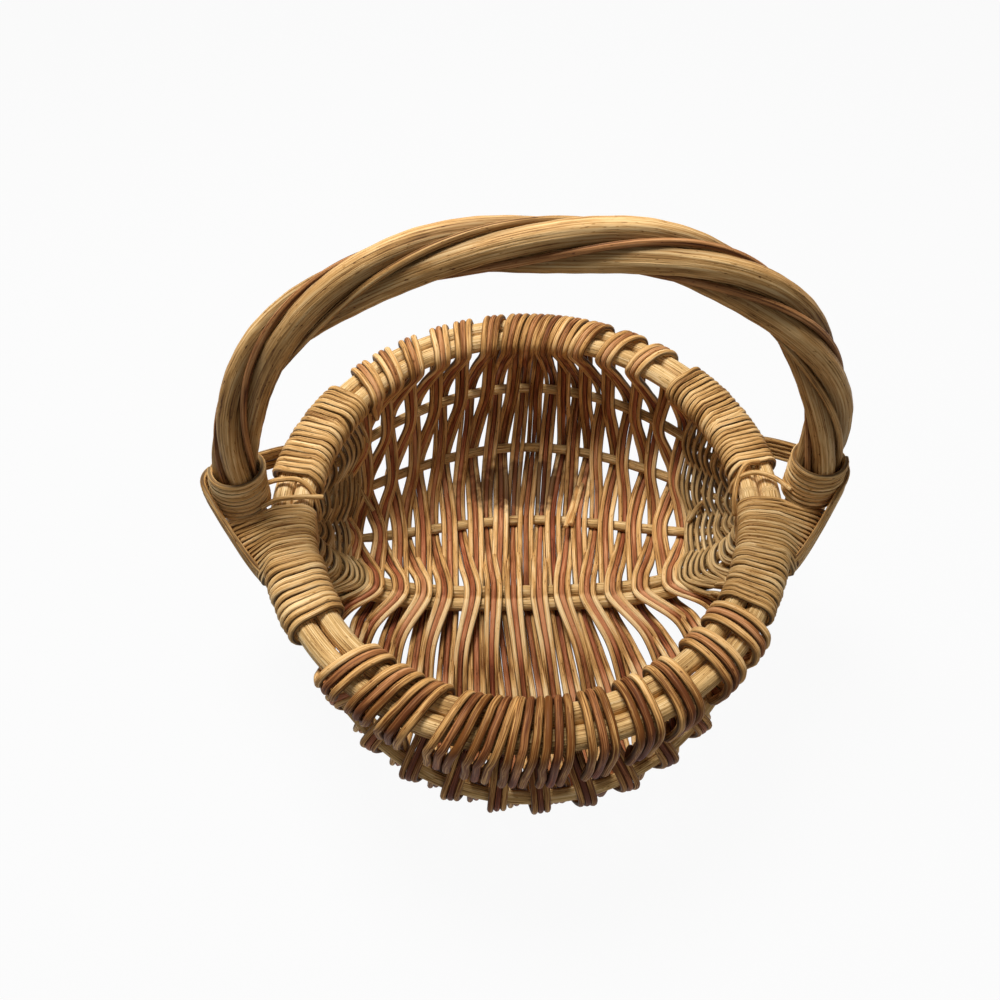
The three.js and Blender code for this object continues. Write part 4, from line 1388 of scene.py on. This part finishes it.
axis_line = handle_axis()
axis_ways = ways_along(axis_line, False)
axis_arcs = arcs_of(axis_line)
front_way = np.array([0.0, -1.0, 0.0])
outward_ways = np.cross(front_way, axis_ways)
print("handle is", round(axis_arcs[-1]), "mm long")

# %% Twist the handle
TWIST_LEAD = 227.0
TWIST_START = 3.36
TWIST_RADIUS = 5.85
HANDLE_ROD_RADIUS = 5.45
GROOVE_STRAND = 1.45
GROOVE_RADIUS = 8.1
HANDLE_RIDGES = 0.22
FOOT_LENGTH = 60
FOOT_SNUG = 0.92
TOP_LOOSER = 0.06
HANDLE_WAVE = 0.1
HANDLE_WAVE_LENGTH = 31
HANDLE_TONE = 0.45
HANDLE_TONE_STEP = 0.1
HANDLE_STREAK = 0.25
HANDLE_STREAK_LENGTHS = (70, 130, 210)
GROOVE_TONE = 0.25
GROOVE_DYE = 0.45
above_foot = ramp(np.minimum(axis_arcs, axis_arcs[-1] - axis_arcs), 0, FOOT_LENGTH)
snug = FOOT_SNUG + TOP_LOOSER * above_foot


def twisted(radius, start):
    """Line of a rod or strand of the twist, and the way beside it."""
    turn = start - 2 * np.pi * axis_arcs / TWIST_LEAD
    spokes = np.cos(turn)[:, None] * outward_ways + np.sin(turn)[:, None] * front_way
    return axis_line + spokes * (radius * snug)[:, None], np.cross(axis_ways, spokes)


for i in range(3):
    start = TWIST_START + 2 * math.pi * i / 3
    wave = HANDLE_WAVE * np.sin(axis_arcs / HANDLE_WAVE_LENGTH + 2 * i)
    girth = HANDLE_ROD_RADIUS * snug - HANDLE_RIDGES + wave
    streaks = HANDLE_STREAK * waves(axis_arcs, HANDLE_STREAK_LENGTHS)
    tones = HANDLE_TONE + HANDLE_TONE_STEP * i + streaks
    path, beside = twisted(TWIST_RADIUS, start)
    rod = tube(path, girth, tones, beside=beside, sides=ROD_SIDES, ridges=HANDLE_RIDGES)
    make_piece(f"handle_rod_{i + 1}", [rod], "handle_rod", f"handle_rod_{i + 1}")
    dyed = i != 1
    path, beside = twisted(GROOVE_RADIUS, start + math.pi / 3)
    strand = tube(path, GROOVE_STRAND, GROOVE_TONE, GROOVE_DYE if dyed else 0.0, beside)
    slot = "dyed_strand" if dyed else "binding"
    make_piece(f"handle_strand_{i + 1}", [strand], slot, f"handle_strand_{i + 1}", finish="handle_rod")
print("twisted three rods and three strands")

# %% [markdown]
# ## Collars and lashings
# A collar of fine strand holds the three rods together at the foot of each leg. A stack of rings would
# look too even, and a real winding climbs. So one helix follows the leg, which leans in as it rises.

# %% Wind a collar
COLLAR_STRAND = 1.28
COLLAR_TOP = 25.5
COLLAR_BOTTOM = 0.5
COLLAR_STEP = 2.6
COLLAR_POINTS = 28
COLLAR_UNEVEN = 0.2
LEG_SNUG = 0.93
HANDLE_REACH = (TWIST_RADIUS + HANDLE_ROD_RADIUS) * LEG_SNUG


def leg_middle(ear, height):
    """X of the middle of a leg at a height above the rim."""
    share = max(0.0, height) / HANDLE_HEIGHT
    narrow = (1 - share ** HANDLE_POWER) ** (1 / HANDLE_POWER)
    return ear * LEG_OFFSET * narrow + HANDLE_LEAN * share


def collar_line(ear):
    """Points of the collar winding, and the tone of each point."""
    turns = int((COLLAR_TOP - COLLAR_BOTTOM) / COLLAR_STEP)
    knots = np.arange(turns + 2)
    uneven = rng.normal(0, COLLAR_UNEVEN, turns + 2)
    puffs = np.abs(rng.normal(0, COLLAR_UNEVEN, turns + 2))
    # The collar gets lighter tones than the other windings, as painted light where the handle shades it.
    tones = rng.uniform(0.4, 1.1, turns + 2)
    shares_round = np.arange(turns * COLLAR_POINTS + 1) / COLLAR_POINTS
    line = []
    for share in shares_round:
        height = COLLAR_BOTTOM + COLLAR_STEP * share + np.interp(share, knots, uneven)
        reach = HANDLE_REACH + COLLAR_STRAND + np.interp(share, knots, puffs)
        wrap = 2 * math.pi * share
        x = leg_middle(ear, height) + ear * reach * math.cos(wrap)
        line.append((x, reach * math.sin(wrap), height))
    return np.array(line), np.interp(shares_round, knots, tones)


print("a collar is", COLLAR_TOP - COLLAR_BOTTOM, "mm high")

# %% [markdown]
# Outside the collar, rows of strand run from the back of the rim round the leg to the front of the rim,
# and tie the leg to the hoop. Each row is pulled tight, so one smooth curve through a few points is
# enough for it. Two loose ends hook over the bare rods at each ear.

# %% Lash the legs
LASH_STRAND = 1.25
LASH_ROWS = 5
LASH_STEP = 2.6
LASH_TOP = 19.0
LASH_ANCHOR_TOP = -2.0
LASH_BACK_ARC = 34.0
LASH_FRONT_ARC = 37.5
LASH_FRONT_SHARE = 0.8
LASH_TUCK = 4
LASH_ANGLES = (62, 25, -12, -48)
LASH_SAG = 0.1
LASH_WOBBLE = 0.15
LASH_POINT_STEP = 2.5
HOOK_POINT_STEP = 1.5
UPRIGHT = np.array([0.0, 0.0, 1.0])


def lash_line(ear, row):
    """Points of one row from the back of the rim round the leg to the front of the rim."""
    drop = row * LASH_STEP
    reach = HANDLE_REACH + 2 * COLLAR_STRAND + LASH_STRAND
    stand = rod_shift + rim_rod_radius + 2 * SADDLE_STRAND + LASH_STRAND
    back_turn = turn_at(ear, 1, LASH_BACK_ARC)
    front_turn = turn_at(ear, -1, LASH_FRONT_ARC)
    back_height = LASH_ANCHOR_TOP - drop
    front_height = LASH_ANCHOR_TOP - drop * LASH_FRONT_SHARE
    tuck = LASH_TUCK - stand
    places = [rim_point(back_turn, tuck, back_height), rim_point(back_turn, -stand, back_height)]
    for degrees in LASH_ANGLES:
        a = math.radians(degrees)
        height = LASH_TOP - drop - LASH_SAG * abs(degrees)
        places.append((ear * (LEG_OFFSET + reach * math.cos(a)), reach * math.sin(a), height))
    places += [rim_point(front_turn, -stand, front_height), rim_point(front_turn, tuck, front_height)]
    wobble = rng.normal(0, LASH_WOBBLE, (len(places), 3))
    return smooth_line(np.array(places) + wobble, LASH_POINT_STEP)[0]


HOOKS = {
    -1: [
        [(-122.5, 3.5, 9), (-118, 6.5, 7.6), (-108, 6.5, 7.2)]
        + [(-101.5, 1.5, 4), (-99.5, -2.5, -3), (-100, -4, -10)],
        [(-124, -9, 6), (-117, -5.5, 7), (-106.5, -4.2, 7.2), (-99, -3.6, 6.6), (-95.5, -3.5, 6)],
    ],
    1: [
        [(124, -6.5, 9), (117.5, 2, 8.2), (108.5, 6, 7.6), (101, 5.5, 3), (99.2, 4.5, -5)],
        [(113, 13, 7.2), (106.5, 11.5, 7.6), (101.5, 5, 4.6), (98.8, -4.5, 1), (99.3, -9.5, -6)],
    ],
}
for ear, label in ((-1, "left"), (1, "right")):
    line, tones = collar_line(ear)
    collar = tube(line, COLLAR_STRAND, tones, beside=UPRIGHT)
    make_piece(f"handle_collar_{label}", [collar], "binding", f"handle_collar_{label}")
    rows = []
    for row in range(LASH_ROWS):
        rows.append(tube(lash_line(ear, row), LASH_STRAND, rng.uniform(0.1, 0.7), beside=UPRIGHT))
    for hook in HOOKS[ear]:
        line, _ = smooth_line(hook, HOOK_POINT_STEP)
        rows.append(tube(line, LASH_STRAND, rng.uniform(0.3, 0.7)))
    make_piece(f"ear_lashing_{label}", rows, "binding", f"ear_lashing_{label}")
print("two collars and two lashings made")
